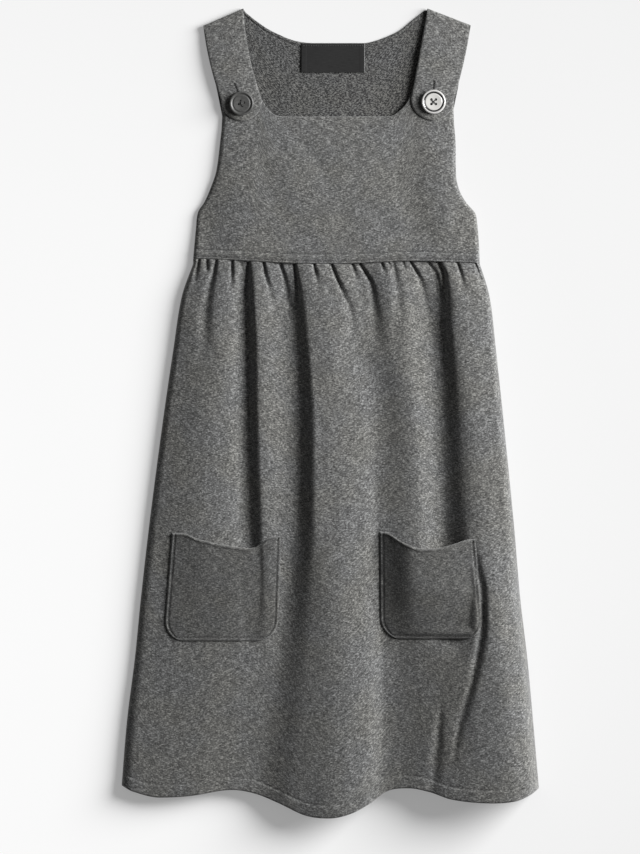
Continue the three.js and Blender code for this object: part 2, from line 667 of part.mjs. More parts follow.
function pocketHeight(pocket, u, v) {
  const plan = pocketPlan(pocket, u, v);
  const onSkirt = skirtHeight(plan.x, plan.y);
  const atLeft = skirtHeight(plan.left, plan.y);
  const atRight = skirtHeight(plan.right, plan.y);
  const bulge = pocket.bulge * smooth(BULGE_SHAPE.map((b) => b.u), BULGE_SHAPE.map((b) => b.share), u)
    * (1 - v ** BULGE_FADE_POWER);
  const bridge = mix(atLeft, atRight, u) + bulge;
  const larger = 0.5 * (onSkirt + bridge + Math.hypot(onSkirt - bridge, POCKET_SOFTNESS));
  return Math.max(onSkirt, larger - POCKET_SOFTNESS / 2) + POCKET_STAND_OFF + CLOTH;
}

function patchPocket(pocket) {
  const grid = [];
  for (let j = 0; j <= POCKET_ROWS; j += 1) {
    const v = 1 - (1 - j / POCKET_ROWS) ** POCKET_ROW_CROWDING;
    const row = [];
    for (let i = 0; i <= POCKET_COLUMNS; i += 1) {
      const u = i / POCKET_COLUMNS;
      const plan = pocketPlan(pocket, u, v);
      row.push(new THREE.Vector3(plan.x, plan.y, pocketHeight(pocket, u, v)));
    }
    grid.push(row);
  }
  return clothWall(grid, CLOTH);
}

// Buttons are turned, then drilled for the thread
const wasm = await Module();
wasm.setup();

function toSolid(geometry) {
  const bare = geometry.clone();
  bare.deleteAttribute('normal');
  bare.deleteAttribute('uv');
  const merged = mergeVertices(bare, 1e-4);
  const index = merged.index.array;
  const triangles = [];
  for (let k = 0; k < index.length; k += 3) {
    const [a, b, c] = [index[k], index[k + 1], index[k + 2]];
    if (a !== b && b !== c && c !== a) triangles.push(a, b, c);
  }
  return new wasm.Manifold(new wasm.Mesh({
    numProp: 3,
    vertProperties: Float32Array.from(merged.attributes.position.array),
    triVerts: Uint32Array.from(triangles),
  }));
}

function toGeometry(solid) {
  const mesh = solid.getMesh();
  const geometry = new THREE.BufferGeometry();
  geometry.setAttribute('position', new THREE.BufferAttribute(Float32Array.from(mesh.vertProperties), 3));
  geometry.setIndex(new THREE.BufferAttribute(Uint32Array.from(mesh.triVerts), 1));
  geometry.computeVertexNormals();
  return geometry;
}

function fourHoleButton(button, level) {
  const radius = BUTTON_DIAMETER / 2;
  const profile = BUTTON_PROFILE.map((p) => new THREE.Vector2(p.radius * radius, p.z));
  const disc = new THREE.LatheGeometry(profile, BUTTON_SEGMENTS);
  disc.rotateX(Math.PI / 2);
  let solid = toSolid(disc);
  const turn = THREE.MathUtils.degToRad(button.turn);
  for (let k = 0; k < 4; k += 1) {
    const angle = turn + Math.PI / 4 + (k * Math.PI) / 2;
    const reach = button.holeSpacing / Math.SQRT2;
    const drill = new THREE.CylinderGeometry(
      THREAD_HOLE_DIAMETER / 2, THREAD_HOLE_DIAMETER / 2, 3 * BUTTON_THICKNESS, THREAD_HOLE_SEGMENTS);
    drill.rotateX(Math.PI / 2);
    drill.translate(reach * Math.cos(angle), reach * Math.sin(angle), 0);
    solid = solid.subtract(toSolid(drill));
  }
  const geometry = toGeometry(solid);
  geometry.translate(button.x, button.y, level);
  return geometry;
}

// A button rests on the highest cloth under it, near the strap's tip
function buttonSeat(strap) {
  const heights = SEAT_SAMPLES.across.flatMap((u) => (
    SEAT_SAMPLES.along.map((part) => strapHeight(strap, u, part))));
  return Math.max(...heights) + GAP;
}

// The label lies inside the back neck, its top edge just under the neckline
function neckLabel() {
  const left = LABEL.middleX - LABEL.width / 2;
  const right = LABEL.middleX + LABEL.width / 2;
  const bottom = LABEL.topY - LABEL.height;
  return flatPanel([
    { x: left, y: bottom },
    { x: right, y: bottom },
    { x: right, y: LABEL.topY },
    { x: left, y: LABEL.topY },
  ], LABEL.thickness, FRONT_FLOOR);
}

const group = new THREE.Group();

function add(name, geometry, material) {
  const mesh = new THREE.Mesh(geometry, material);
  mesh.name = name;
  group.add(mesh);
}

add('skirt_front', skirtFront(), MARL);
add('skirt_back', skirtBack(), MARL_INSIDE);
add('bodice_front', bodiceFront(), MARL);
add('bodice_back', bodiceBack(), MARL_INSIDE);
for (const side of ['left', 'right']) {
  add(`strap_${side}`, foldedStrap(STRAPS[side]), MARL);
  add(`pocket_${side}`, patchPocket(POCKETS[side]), MARL);
}
add('button_left', fourHoleButton(BUTTONS.left, buttonSeat(STRAPS.left)), GREY_BUTTON);
add('button_right', fourHoleButton(BUTTONS.right, buttonSeat(STRAPS.right)), PEARL_BUTTON);
add('neck_label', neckLabel(), SATIN);

export default group;
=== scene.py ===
# %% [markdown]
# # A child's pinafore dress, laid flat
#
# The real dress is cut from grey marl jersey: a skirt gathered on to a plain bodice, two patch
# pockets, two straps that come over the shoulders and button on to the front, and a small
# bare label in the neck. It lies on its back on a white surface.
#
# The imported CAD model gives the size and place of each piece, so it is loaded first and kept
# as a fixed frame. Each soft CAD solid is then replaced by a finer sheet of cloth on the same form.

# %% Load the frame
import math

import bmesh
import bpy
import numpy as np
from mathutils import Matrix, Vector


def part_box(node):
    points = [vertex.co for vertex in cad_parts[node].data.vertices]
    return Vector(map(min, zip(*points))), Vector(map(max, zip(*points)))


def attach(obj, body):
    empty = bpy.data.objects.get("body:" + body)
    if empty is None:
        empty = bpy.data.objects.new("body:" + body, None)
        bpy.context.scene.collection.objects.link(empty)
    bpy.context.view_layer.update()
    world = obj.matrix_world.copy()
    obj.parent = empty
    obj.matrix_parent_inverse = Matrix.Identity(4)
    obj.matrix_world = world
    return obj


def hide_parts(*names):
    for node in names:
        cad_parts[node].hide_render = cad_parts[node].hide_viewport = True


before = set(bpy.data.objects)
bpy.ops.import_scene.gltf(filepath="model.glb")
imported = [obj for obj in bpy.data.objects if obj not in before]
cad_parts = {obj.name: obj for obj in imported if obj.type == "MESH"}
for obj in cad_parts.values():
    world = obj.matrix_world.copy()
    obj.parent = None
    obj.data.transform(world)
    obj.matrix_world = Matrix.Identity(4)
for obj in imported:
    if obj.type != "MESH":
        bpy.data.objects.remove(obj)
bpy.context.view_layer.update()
MM = 0.001

# %% [markdown]
# ## Smooth lines
#
# A maker's pattern gives a few points and joins them with a smooth line that never swings past
# them. The same line draws the outline, the fold lines and the heights here. It works on whole
# arrays at once, so a sheet with tens of thousands of points is placed in a second.

# %% A smooth line through a table of points
def smooth(stations, values, at):
    """Values at any places, on the line through the stations that never overshoots them."""
    at = np.asarray(at, dtype=float)
    flat = at.ravel()
    spread_out = [np.asarray(t, dtype=float) for t in (stations, values)]
    stations, values = [
        np.repeat(t[:, None], flat.size, axis=1) if t.ndim == 1 else t.reshape(len(t), -1)
        for t in spread_out]
    rise = np.diff(values, axis=0) / np.diff(stations, axis=0)
    central = (values[2:] - values[:-2]) / (stations[2:] - stations[:-2])
    steepest = 3 * np.minimum(abs(rise[:-1]), abs(rise[1:]))
    inner = np.sign(central) * np.minimum(abs(central), steepest)
    inner[rise[:-1] * rise[1:] <= 0] = 0
    slope = np.vstack([rise[:1], inner, rise[-1:]])
    k = np.clip((stations <= flat).sum(axis=0) - 1, 0, len(stations) - 2)
    column = np.arange(flat.size)
    span = stations[k + 1, column] - stations[k, column]
    t = np.clip((flat - stations[k, column]) / span, 0, 1)
    start = 2 * t**3 - 3 * t**2 + 1
    line = start * values[k, column] + (1 - start) * values[k + 1, column]
    line += span * (t**3 - 2 * t**2 + t) * slope[k, column]
    line += span * (t**3 - t**2) * slope[k + 1, column]
    return line.reshape(at.shape)


def mix(a, b, t):
    return a + (b - a) * t


def edge_turn(distance, width):
    """Height factor of a rounded edge, from 0 at the edge to 1 at the inner end of the turn."""
    return np.sqrt(1 - (1 - np.clip(distance / width, 0, 1)) ** 2)


def bump(distance, width):
    """A soft ridge across a line, 1 on the line and fading over the width."""
    return np.exp(-((distance / width) ** 2))


print("A line through 0, 10 and 12 gives", smooth([0, 1, 2], [0, 10, 12], [0.5, 1.5]).round(2))

# %% [markdown]
# ## The pattern of the skirt
#
# These are the measurements of the laid-out skirt in millimetres: the waist seam, the hem and
# the long folds. A fold is a line that runs down the skirt, with its place across the skirt and
# the height of the cloth there, at several distances below the waist. They are the same values
# as in the solids, so the visible cloth lies exactly on them.

# %% Sizes of the cloth and the waist
CLOTH = 1.8
GAP = 0.3
BACK_CLOTH = 1.6
FRONT_FLOOR = BACK_CLOTH + GAP
WAIST_Y = 138
WAIST_LEFT = -127
WAIST_RIGHT = 139
SEAM_X = [WAIST_LEFT, -83.5, -37, 9.5, 46.5, 74, 111.5, WAIST_RIGHT]
SEAM_Y = [143, 141, 138.5, WAIST_Y, 139.5, 140.5, 139.5, 138.5]
HEM_X = [-194.5, -183.5, -158, -130, -91, -69.5, -46.5, -23, -2, 18.5, 37, 55.5, 74, 93, 113,
         148.5, 171.5, 185.5, 195]
HEM_Y = [-345.5, -351, -356.5, -355, -349.5, -353, -362, -372.5, -375, -371, -361.5, -349.5,
         -347.5, -351, -357.5, -360.5, -358.5, -353, -347.5]
BELOW_WAIST = [0, 30, 80, 145, 240, 310, 365, 425, 500]
FULL_LENGTH = BELOW_WAIST[-1]

# %% The long folds, from left to right
FOLD_TABLE = {
    # name: (places across the skirt, heights of the cloth)
    "left side": (
        [-127, -137.5, -145.5, -155, -167.5, -175.5, -181, -188.5, -194.5],
        [8, 8, 8, 8, 8, 8.5, 9, 10, 12]),
    "left crest": (
        [-98.5, -102, -106, -111.5, -118, -104, -100, -112, -124],
        [9, 12, 13.5, 13.5, 13.5, 12.5, 13, 13, 14.5]),
    "left fall": (
        [-87, -90, -92, -92, -92, -86, -86, -92, -100],
        [8.5, 11, 11.5, 11, 10.5, 12, 12.5, 12.5, 13]),
    "left pocket valley": (
        [-80.5, -79, -77, -77, -75, -72, -74, -80, -87],
        [6, 5.2, 4.6, 4.6, 4.4, 7.5, 12, 12, 12.5]),
    "ridge beside it": (
        [-69.5, -69, -66.5, -65.5, -62, -60, -62, -68, -74],
        [9.5, 13, 14, 13.5, 12.5, 11.5, 11.5, 12, 12.5]),
    "long middle valley": (
        [-38, -35.5, -31, -29, -31, -40, -48, -56, -64],
        [6.5, 6, 5.6, 5.6, 6.4, 8, 11, 12.5, 13]),
    "shoulder of the main crest": (
        [-29.5, -24.5, -18, -13.5, -13, -17.5, -20.5, -26, -34],
        [8.5, 13, 15, 16.5, 17.5, 18.5, 20.5, 21.5, 21.5]),
    "main crest": (
        [-16.5, -9.5, -2, 6, 8, 8, 9, 12, 12],
        [9.5, 14, 15.5, 16, 18, 22.5, 25, 27, 29]),
    "right slope of the main crest": (
        [9.5, 14, 16, 28, 30, 31, 34, 34, 32],
        [9, 12, 12.5, 12.5, 14.5, 18, 21.5, 23.5, 26]),
    "broad right valley": (
        [28, 32, 35, 44, 44, 47, 50, 50, 50],
        [7, 8, 9, 8.5, 9.5, 11, 14, 16, 18.5]),
    "long slope right of it": (
        [54, 60, 68, 76, 81, 82, 92, 94, 96],
        [9, 12, 13.5, 13.8, 14.2, 18, 22, 25, 27.5]),
    "right pocket valley": (
        [98.5, 100, 103, 104, 106, 110, 118, 122, 122],
        [6, 4.4, 4.2, 4.4, 4.6, 11, 28, 32, 33.5]),
    "shoulder of the right crest": (
        [106, 110.5, 116, 121, 127, 132, 138, 138, 140],
        [9, 13, 15.5, 15.5, 17, 27, 34, 36, 37]),
    "right crest": (
        [112, 119, 128, 136, 145, 152, 156, 162, 168],
        [9.6, 15, 17, 18, 20, 30.5, 36.5, 38.5, 40]),
    "right side": (
        [139, 148, 154, 161, 170.5, 176.5, 183, 188.5, 195],
        [8.5, 13, 14, 15, 16.5, 22, 27, 29, 33]),
}
FOLDS = {name: {"across": row[0], "height": row[1]} for name, row in FOLD_TABLE.items()}
print(len(FOLDS), "fold lines")

# %% [markdown]
# ## Gathers and creases
#
# The waist is drawn in on a thread, so the cloth leaves the seam in small tubes with pinched
# valleys between them. Each valley is given one by one: where it runs across the skirt, how far
# below the seam, how deep and how wide. They start narrow and deep, lean the way the cloth is
# pulled, and widen and fade on the way down. They are from 7 to almost 100 mm long.

# %% The gathers at the waist
CREASE_COLUMNS = ("x", "below", "depth", "width")


def crease_table(*rows):
    """Creases with named columns: the middle of each one, then its depth and width going down."""
    return [dict(zip(CREASE_COLUMNS, row)) for row in rows]


GATHERS = crease_table(
    ([-121.5, -122.5, -124.5, -126], [0, 6.5, 16, 29], [3, 2.6, 1.4, 0], [1.2, 1.5, 2.2, 3]),
    ([-114, -114, -113.5], [0, 8, 14.5], [3.2, 2.4, 0], [1.3, 1.6, 2]),
    ([-105.5, -107.5, -111.5, -115, -116, -116], [0, 11.5, 26.5, 47, 72.5, 98.5],
     [3.2, 3.4, 3.2, 2.8, 1.8, 0], [1.3, 2, 3.5, 4.5, 5.5, 6]),
    ([-91, -91, -91.5, -90, -87], [0, 10, 19, 30.5, 42], [3.6, 3.2, 1.8, 0.9, 0], [1.3, 1.6, 2.2, 4, 6]),
    ([-83.5, -81.5, -80], [0, 7.5, 15], [1.2, 1, 0], [1.2, 1.8, 2.4]),
    ([-76, -76.5, -77, -76.5], [0, 12, 25, 45.5], [4.6, 4.2, 2.6, 0], [1.4, 2, 3, 4]),
    ([-62, -59.5, -55.5, -52, -50], [0, 13, 26.5, 42, 59], [4, 3.6, 2.4, 1, 0], [1.3, 1.7, 2.4, 4, 6]),
    ([-46.5, -42.5, -39, -36, -34.5], [0, 13, 29.5, 44, 58],
     [4, 3.8, 2.8, 1.2, 0], [1.3, 1.7, 2.4, 3.5, 5]),
    ([-33.5, -31, -29, -26], [0, 18, 36.5, 57], [4.6, 4.2, 2.6, 0], [1.4, 2, 2.8, 4]),
    ([-15, -13.5, -12, -11], [0, 7.5, 16, 30], [3.4, 2.8, 1.2, 0], [1.2, 1.5, 2.2, 4]),
    ([1, 7.5, 14, 18.5, 20.5, 21.5], [0, 16, 30, 43, 60, 82],
     [4, 4, 3.6, 2.4, 1.2, 0], [1.4, 1.7, 2.2, 3, 4.5, 6]),
    ([20.5, 22.5, 25], [0, 6, 15.5], [3, 2.2, 0], [1.2, 1.6, 2.4]),
    ([27, 32.5, 38.5, 41, 42.5, 44.5], [0, 8.5, 20, 37.5, 56, 83],
     [4, 4, 3.4, 2.6, 1.8, 0], [1.3, 1.6, 2.2, 3.6, 5, 7]),
    ([47.5, 49, 51], [0, 4.5, 12], [3, 2.2, 0], [1.2, 1.5, 2]),
    ([54, 55.5, 56.5], [0, 3, 7.5], [2, 1.4, 0], [1.1, 1.4, 1.8]),
    ([58.5, 60.5, 63, 64, 64], [0, 12.5, 31, 55, 87.5], [1.6, 2, 2, 1.4, 0], [1.5, 3, 4.5, 6, 8]),
    ([67.5, 68.5, 69.5], [0, 3.5, 9], [2.4, 1.6, 0], [1.1, 1.3, 1.8]),
    ([74, 79, 83.5, 88, 93, 94.5], [0, 8, 17, 35.5, 56, 82],
     [3.8, 3.8, 2.8, 2, 1.4, 0], [1.3, 1.6, 2.4, 4, 5, 7]),
    ([90, 96.5, 100, 104], [0, 8.5, 22.5, 37], [3.8, 3.6, 3, 0], [1.3, 1.7, 2.2, 3]),
    ([100, 105, 106.5, 107.5], [0, 10, 27.5, 48], [4.6, 4.4, 3, 0], [1.4, 2, 3, 4]),
    ([118, 120.5, 122.5, 124.5], [0, 7.5, 17, 31], [3.2, 2.6, 1.6, 0], [1.2, 1.5, 2.4, 4]),
    ([134.5, 138.5, 142, 145], [0, 11.5, 24.5, 40.5], [2.6, 2.2, 1.4, 0], [1.2, 1.8, 2.6, 4]),
)

# %% Creases lower down: one beside the right pocket and one at the hem
LOWER_CREASES = crease_table(
    ([133, 136.5, 141, 141, 137, 129.5, 122.5, 116.5, 113],
     [261.5, 282.5, 307.5, 335.5, 363.5, 396, 419.5, 445, 466.5],
     [0, 3, 4.6, 5, 4.4, 3.6, 2.8, 1.6, 0], [2.6, 3, 3.2, 3.2, 3, 3, 3, 3, 3]),
    ([103, 101, 99.5, 96.5, 93], [404.5, 425, 448, 471.5, 490], [0, 1.6, 2.2, 2.2, 1.8], [2.5, 3, 4, 5, 6]),
)
print(len(GATHERS), "gathers and", len(LOWER_CREASES), "lower creases")

# %% [markdown]
# ## Height of the skirt
#
# The height of the cloth above the table comes from the fold lines, less the gathers and the
# creases. Both sides turn down to the seam, and the top edge dips under the edge of the bodice.

# %% The height of the skirt at any place
TUCK = {"depth": 0.9, "length": 2}
SIDE_ROLLS = {"left": {"at_waist": 5, "per_length": 0.012}, "right": {"at_waist": 5, "per_length": 0.015}}
LEAST_RISE = CLOTH + 0.1


def fold_line(name, key, below):
    return smooth(BELOW_WAIST, FOLDS[name][key], below)


def seam_y(x):
    return smooth(SEAM_X, SEAM_Y, x)


def crease_depth(creases, x, below):
    """How deep the creases are at any place. Outside its table a crease has faded out."""
    depth = np.zeros_like(x)
    for crease in creases:
        middle, deep, width = [
            smooth(crease["below"], crease[column], below) for column in ("x", "depth", "width")]
        depth += deep * bump(x - middle, width)
    return depth


def skirt_height(x, y):
    below = np.clip(WAIST_Y - y, 0, None)
    lines = np.stack([fold_line(name, "across", below) for name in FOLDS])
    heights = np.stack([fold_line(name, "height", below) for name in FOLDS])
    to_sides = {"left": x - lines[0], "right": lines[-1] - x}
    turn = 1
    for side, roll in SIDE_ROLLS.items():
        turn = turn * edge_turn(to_sides[side], roll["at_waist"] + roll["per_length"] * below)
    below_seam = seam_y(x) - y
    level = smooth(lines, heights, x) - crease_depth(GATHERS + LOWER_CREASES, x, below_seam)
    level -= TUCK["depth"] * bump(below_seam, TUCK["length"])
    return FRONT_FLOOR + np.maximum(level - FRONT_FLOOR, LEAST_RISE) * turn


print("Height at the main crest near the hem:", skirt_height(np.array([0.0]), np.array([-340.0])))

# %% [markdown]
# ## Sheets of cloth
#
# Each piece of the dress is one sheet. It starts as a flat grid whose points are then moved to
# their places on the body of the dress. The grid is closer where the cloth needs it, such as at
# seams and gathers. A Solidify modifier gives it the thickness of the jersey, and a UV map in
# metres keeps the knit at its real size, running along the rows as the courses do.

# %% Grid positions that crowd together where they are needed
def crowded(count, *hot_spots):
    """Positions from 0 to 1. A hot spot is a centre, a width and how much denser it is there."""
    t = np.linspace(0, 1, 4001)
    density = 1 + sum(weight * bump(t - centre, width) for centre, width, weight in hot_spots)
    total = np.concatenate([[0], np.cumsum((density[1:] + density[:-1]) / 2)])
    return np.interp(np.linspace(0, total[-1], count + 1), total, t)


# %% Make one sheet of cloth
def new_piece(name, shape):
    """A smooth piece in the scene from a finished mesh."""
    mesh = bpy.data.meshes.new(name)
    shape.to_mesh(mesh)
    shape.free()
    mesh.polygons.foreach_set("use_smooth", np.ones(len(mesh.polygons), dtype=bool))
    piece = bpy.data.objects.new(name, mesh)
    bpy.context.scene.collection.objects.link(piece)
    return piece


def cloth_sheet(name, across, down, place, thickness, on_table=False):
    """A grid of cloth. place takes the two grid positions and gives its points in millimetres.
    A piece on the table is as thick as it is high, so that its underside lies flat."""
    columns, rows = len(across) - 1, len(down) - 1
    u, v = np.meshgrid(across, down)
    places = np.stack(place(u, v), axis=-1) * MM
    run = np.linalg.norm(np.diff(places, axis=1), axis=2)
    run = np.hstack([np.zeros((rows + 1, 1)), np.cumsum(run, axis=1)])
    run -= run[:, columns // 2][:, None]
    fall = np.linalg.norm(np.diff(places, axis=0), axis=2).mean(axis=1)
    fall = np.concatenate([[0], np.cumsum(fall)])
    sheet = bmesh.new()
    bmesh.ops.create_grid(sheet, x_segments=columns, y_segments=rows, size=1)
    corners = np.array([vertex.co for vertex in sheet.verts])
    i = np.rint((corners[:, 0] + 1) / 2 * columns).astype(int)
    j = np.rint((1 - corners[:, 1]) / 2 * rows).astype(int)
    corners_placed = places[j, i]
    for vertex, point in zip(sheet.verts, corners_placed):
        vertex.co = point
    piece = new_piece(name, sheet)
    mesh = piece.data
    owner = np.empty(len(mesh.loops), dtype=int)
    mesh.loops.foreach_get("vertex_index", owner)
    cloth_map = mesh.uv_layers.new(name="cloth")
    cloth_map.data.foreach_set("uv", np.stack([run[j, i], -fall[j]], axis=1)[owner].ravel())
    wall = piece.modifiers.new("thickness of the cloth", "SOLIDIFY")
    wall.thickness = thickness * MM
    wall.offset = -1
    if on_table:
        wall.thickness = max(corners_placed[:, 2])
        wall.vertex_group = piece.vertex_groups.new(name="height above the table").name
        for index, level in enumerate(corners_placed[:, 2]):
            piece.vertex_groups[0].add([index], level / wall.thickness, "REPLACE")
    print(f"{name}: {rows} by {columns} squares, about {fall[-1] * 1000:.0f} mm long")
    return piece


# %% [markdown]
# ## The skirt front
#
# The skirt is one wide panel. Its hem is turned up and stitched, which makes the last 11.5 mm a
# little thicker and leaves a shallow groove under the stitches. Those are moved in the grid's
# points, because light from the side shows them as real relief.

# %% Points of the skirt front
HEM_BAND = 11.5
HEM_LIFT = 0.5
HEM_EASE = 1.5
SIDE_FADE = 0.02
STITCH_GROOVE = {"depth": 0.6, "width": 1.0}
ROLL = {"drop": 0.75, "width": 1.3}


def rolled_edge(distance):
    """How far the cloth's face drops towards a turned or cut edge."""
    return ROLL["drop"] * (1 - edge_turn(distance, ROLL["width"]))


def groove(distance):
    return STITCH_GROOVE["depth"] * bump(distance, STITCH_GROOVE["width"])


def skirt_plan(u, v):
    at_hem = mix(fold_line("left side", "across", FULL_LENGTH),
                 fold_line("right side", "across", FULL_LENGTH), u)
    top = seam_y(mix(WAIST_LEFT, WAIST_RIGHT, u)) - GAP / 2
    hem = smooth(HEM_X, HEM_Y, at_hem)
    y = mix(top, hem, v)
    below = np.clip(WAIST_Y - y, 0, None)
    x = mix(fold_line("left side", "across", below), fold_line("right side", "across", below), u)
    return x, y, hem


def skirt_place(u, v):
    x, y, hem = skirt_plan(u, v)
    above_hem = y - hem
    z = skirt_height(x, y)
    inside_sides = edge_turn(np.minimum(u, 1 - u), SIDE_FADE)
    band = HEM_LIFT * (1 - edge_turn(above_hem - HEM_BAND, HEM_EASE)) * (above_hem <= HEM_BAND + HEM_EASE)
    z += inside_sides * (band - groove(above_hem - HEM_BAND) - rolled_edge(above_hem))
    return x, y, z


# %% Make the skirt front
gather_places = [((g["x"][0] - WAIST_LEFT) / (WAIST_RIGHT - WAIST_LEFT), 0.008, 1.2) for g in GATHERS]
skirt_front = cloth_sheet(
    "jersey_skirt_front",
    across=crowded(350, (0, 0.02, 4), (1, 0.02, 4), *gather_places),
    down=crowded(136, (0, 0.03, 4), (0.985, 0.018, 7)),
    place=skirt_place, thickness=1.5)

# %% [markdown]
# ## The skirt back
#
# The back lies under the front. Nothing of it shows from above, but it shows from the hem, where
# the front stands up in folds. It is the same cut, with low ripples where the gathers run out.

# %% Make the skirt back
BACK_HEM_Y = -343
BACK_INSET = 0.4
RIPPLE = {"height": 0.9, "spacing": 47, "sway": 1.3, "sway_length": 90}
RIPPLE_FADE = {"sides": 0.12, "top": 0.1}


def skirt_back_place(u, v):
    top = seam_y(mix(WAIST_LEFT, WAIST_RIGHT, u)) - GAP / 2
    y = mix(top, BACK_HEM_Y, v)
    below = np.clip(WAIST_Y - y, 0, None)
    x = mix(fold_line("left side", "across", below) + BACK_INSET,
            fold_line("right side", "across", below) - BACK_INSET, u)
    sway = RIPPLE["sway"] * np.sin(y / RIPPLE["sway_length"])
    ripple = 0.5 - 0.5 * np.cos(2 * math.pi * x / RIPPLE["spacing"] + sway)
    inside_edges = edge_turn(np.minimum(u, 1 - u), RIPPLE_FADE["sides"]) * edge_turn(v, RIPPLE_FADE["top"])
    z = BACK_CLOTH + RIPPLE["height"] * ripple * inside_edges - rolled_edge(y - BACK_HEM_Y)
    return x, y, z


skirt_back = cloth_sheet(
    "jersey_skirt_back",
    across=crowded(120, (0, 0.02, 3), (1, 0.02, 3)),
    down=crowded(90, (1, 0.01, 4)),
    place=skirt_back_place, thickness=1.4, on_table=True)

# %% [markdown]
# ## The bodice front
#
# The bodice is stretched between the waist seam, the two armhole edges and the scooped neck. A
# point inside is blended from those four edges. Its lower edge is topstitched twice: close to the
# seam and 8.7 mm above it, and the seam allowance under it makes a low, rounded band. Soft waves
# lean across the panel, where the cloth was pulled a little towards the waist.

# %% Edges of the bodice front
BODICE_LEFT_X = [WAIST_LEFT, -124.5, -122.5, -116.5, -110, -105.5, -102, -100, -102.5]
BODICE_LEFT_Y = [143, 170, 186, 195.5, 210.5, 224.5, 251, 273, 300]
BODICE_RIGHT_X = [WAIST_RIGHT, 138, 136, 134.5, 126, 120, 117, 116.5, 114.5, 116]
BODICE_RIGHT_Y = [138.5, 160, 180.5, 185.5, 195.5, 206.5, 220.5, 251, 280, 302]
TOP_X = [-102.5, -94, -85, -76, -67.5, -65, -62.5, -58.5, -54, -48.5, -40, -25, -10, 5, 20, 35,
         49, 57.5, 63, 67.5, 72, 75.5, 78.5, 88, 97, 107, 116]
TOP_Y = [300, 301.5, 302, 301.5, 300, 294, 289, 283, 278, 275.2, 274.5, 274.5, 274.5, 274.5,
         274.5, 274.5, 274.5, 275.5, 279, 283, 289, 296, 302, 303.5, 304, 303.5, 302]
RISE_Y = [139, 160, 200, 250, 275, 304]
RISE = [9.2, 9, 8.4, 6.2, 5.2, 5]
BODICE_HOLLOWS = [
    {"x": -120, "y": 190, "depth": 4, "width": 24, "length": 60},
    {"x": 101, "y": 225, "depth": -1.6, "width": 15, "length": 30},
    {"x": 110, "y": 178, "depth": -2, "width": 16, "length": 26},
    {"x": -60, "y": 170, "depth": 0.7, "width": 24, "length": 16},
    {"x": 25, "y": 225, "depth": 0.6, "width": 40, "length": 12},
]
BODICE_WAVES = crease_table(
    ([-74, -61, -38, -28], [50, 79, 130, 150], [0, 0.8, 0.8, 0], [12, 12, 12, 12]),
    ([-32, -19, -3, 12, 20], [36, 60, 88, 125, 150], [0, 0.8, 0.8, 0.7, 0], [12, 12, 12, 12, 12]),
    ([36, 47, 54], [90, 125, 150], [0, 0.7, 0], [11, 11, 11]),
    ([66, 68, 74, 82], [30, 85, 125, 155], [0, 1.3, 1.3, 0], [15, 15, 15, 15]),
)
BODICE_ROLL = 4.5
WAIST_STITCHES = {"lower": 1.9, "upper": 8.7}
SEAM_BAND = {"lift": 0.5, "middle": 5.5, "width": 3.2}
SEAM_LIP = {"lift": 0.35, "middle": 1.1, "width": 0.7}


# %% Points of the bodice front
def bodice_height(x, y):
    height = smooth(RISE_Y, RISE, y)
    for hollow in BODICE_HOLLOWS:
        height = height - (hollow["depth"] * bump(x - hollow["x"], hollow["width"])
                           * bump(y - hollow["y"], hollow["length"]))
    return height - crease_depth(BODICE_WAVES, x, RISE_Y[-1] - y)


def seam_band(above_seam):
    """The rise over the seam allowance and over the folded edge beside the seam."""
    return sum(part["lift"] * bump(above_seam - part["middle"], part["width"])
               for part in (SEAM_BAND, SEAM_LIP))


def blended(u, v, seam, top, left, right):
    """A point inside four edges. Each edge is a pair of coordinates at the grid's positions."""
    point = []
    for axis in (0, 1):
        ends_left = mix(seam[axis][:, :1], top[axis][:, :1], v)
        ends_right = mix(seam[axis][:, -1:], top[axis][:, -1:], v)
        point.append(mix(seam[axis], top[axis], v) + mix(left[axis], right[axis], u)
                     - mix(ends_left, ends_right, u))
    return point


def bodice_plan(u, v):
    seam_x = mix(WAIST_LEFT, WAIST_RIGHT, u)
    seam = (seam_x, seam_y(seam_x) + GAP / 2)
    top_x = mix(TOP_X[0], TOP_X[-1], u)
    top = (top_x, smooth(TOP_X, TOP_Y, top_x))
    left_y = mix(BODICE_LEFT_Y[0] + GAP / 2, BODICE_LEFT_Y[-1], v)
    right_y = mix(BODICE_RIGHT_Y[0] + GAP / 2, BODICE_RIGHT_Y[-1], v)
    left = (smooth(BODICE_LEFT_Y, BODICE_LEFT_X, left_y), left_y)
    right = (smooth(BODICE_RIGHT_Y, BODICE_RIGHT_X, right_y), right_y)
    x, y = blended(u, v, seam, top, left, right)
    return x, y, left[0], right[0], seam[1], top[1]


def bodice_place(u, from_top):
    v = 1 - from_top
    x, y, left, right, seam, top = bodice_plan(u, v)
    turn = edge_turn(np.minimum(x - left, right - x), BODICE_ROLL)
    above_seam = y - seam
    band = seam_band(above_seam)
    for row in WAIST_STITCHES.values():
        band -= groove(above_seam - row)
    height = bodice_height(x, y) + band - rolled_edge(above_seam) - rolled_edge(top - y)
    return x, y, FRONT_FLOOR + (height - FRONT_FLOOR) * turn


bodice_front = cloth_sheet(
    "jersey_bodice_front",
    across=crowded(230, (0, 0.02, 4), (1, 0.02, 4), (0.2, 0.04, 1.5), (0.8, 0.04, 1.5)),
    down=crowded(190, (0, 0.02, 3), (0.965, 0.035, 5), (1, 0.008, 6)),
    place=bodice_place, thickness=1.5)

# %% [markdown]
# ## The straps
#
# Each strap is a flat tube of jersey that is folded over at the shoulder, runs down the front and
# ends in a round tip under its button. The sheet starts with a short length on the back layer,
# goes round the fold and then follows the front. Its two long edges roll under.

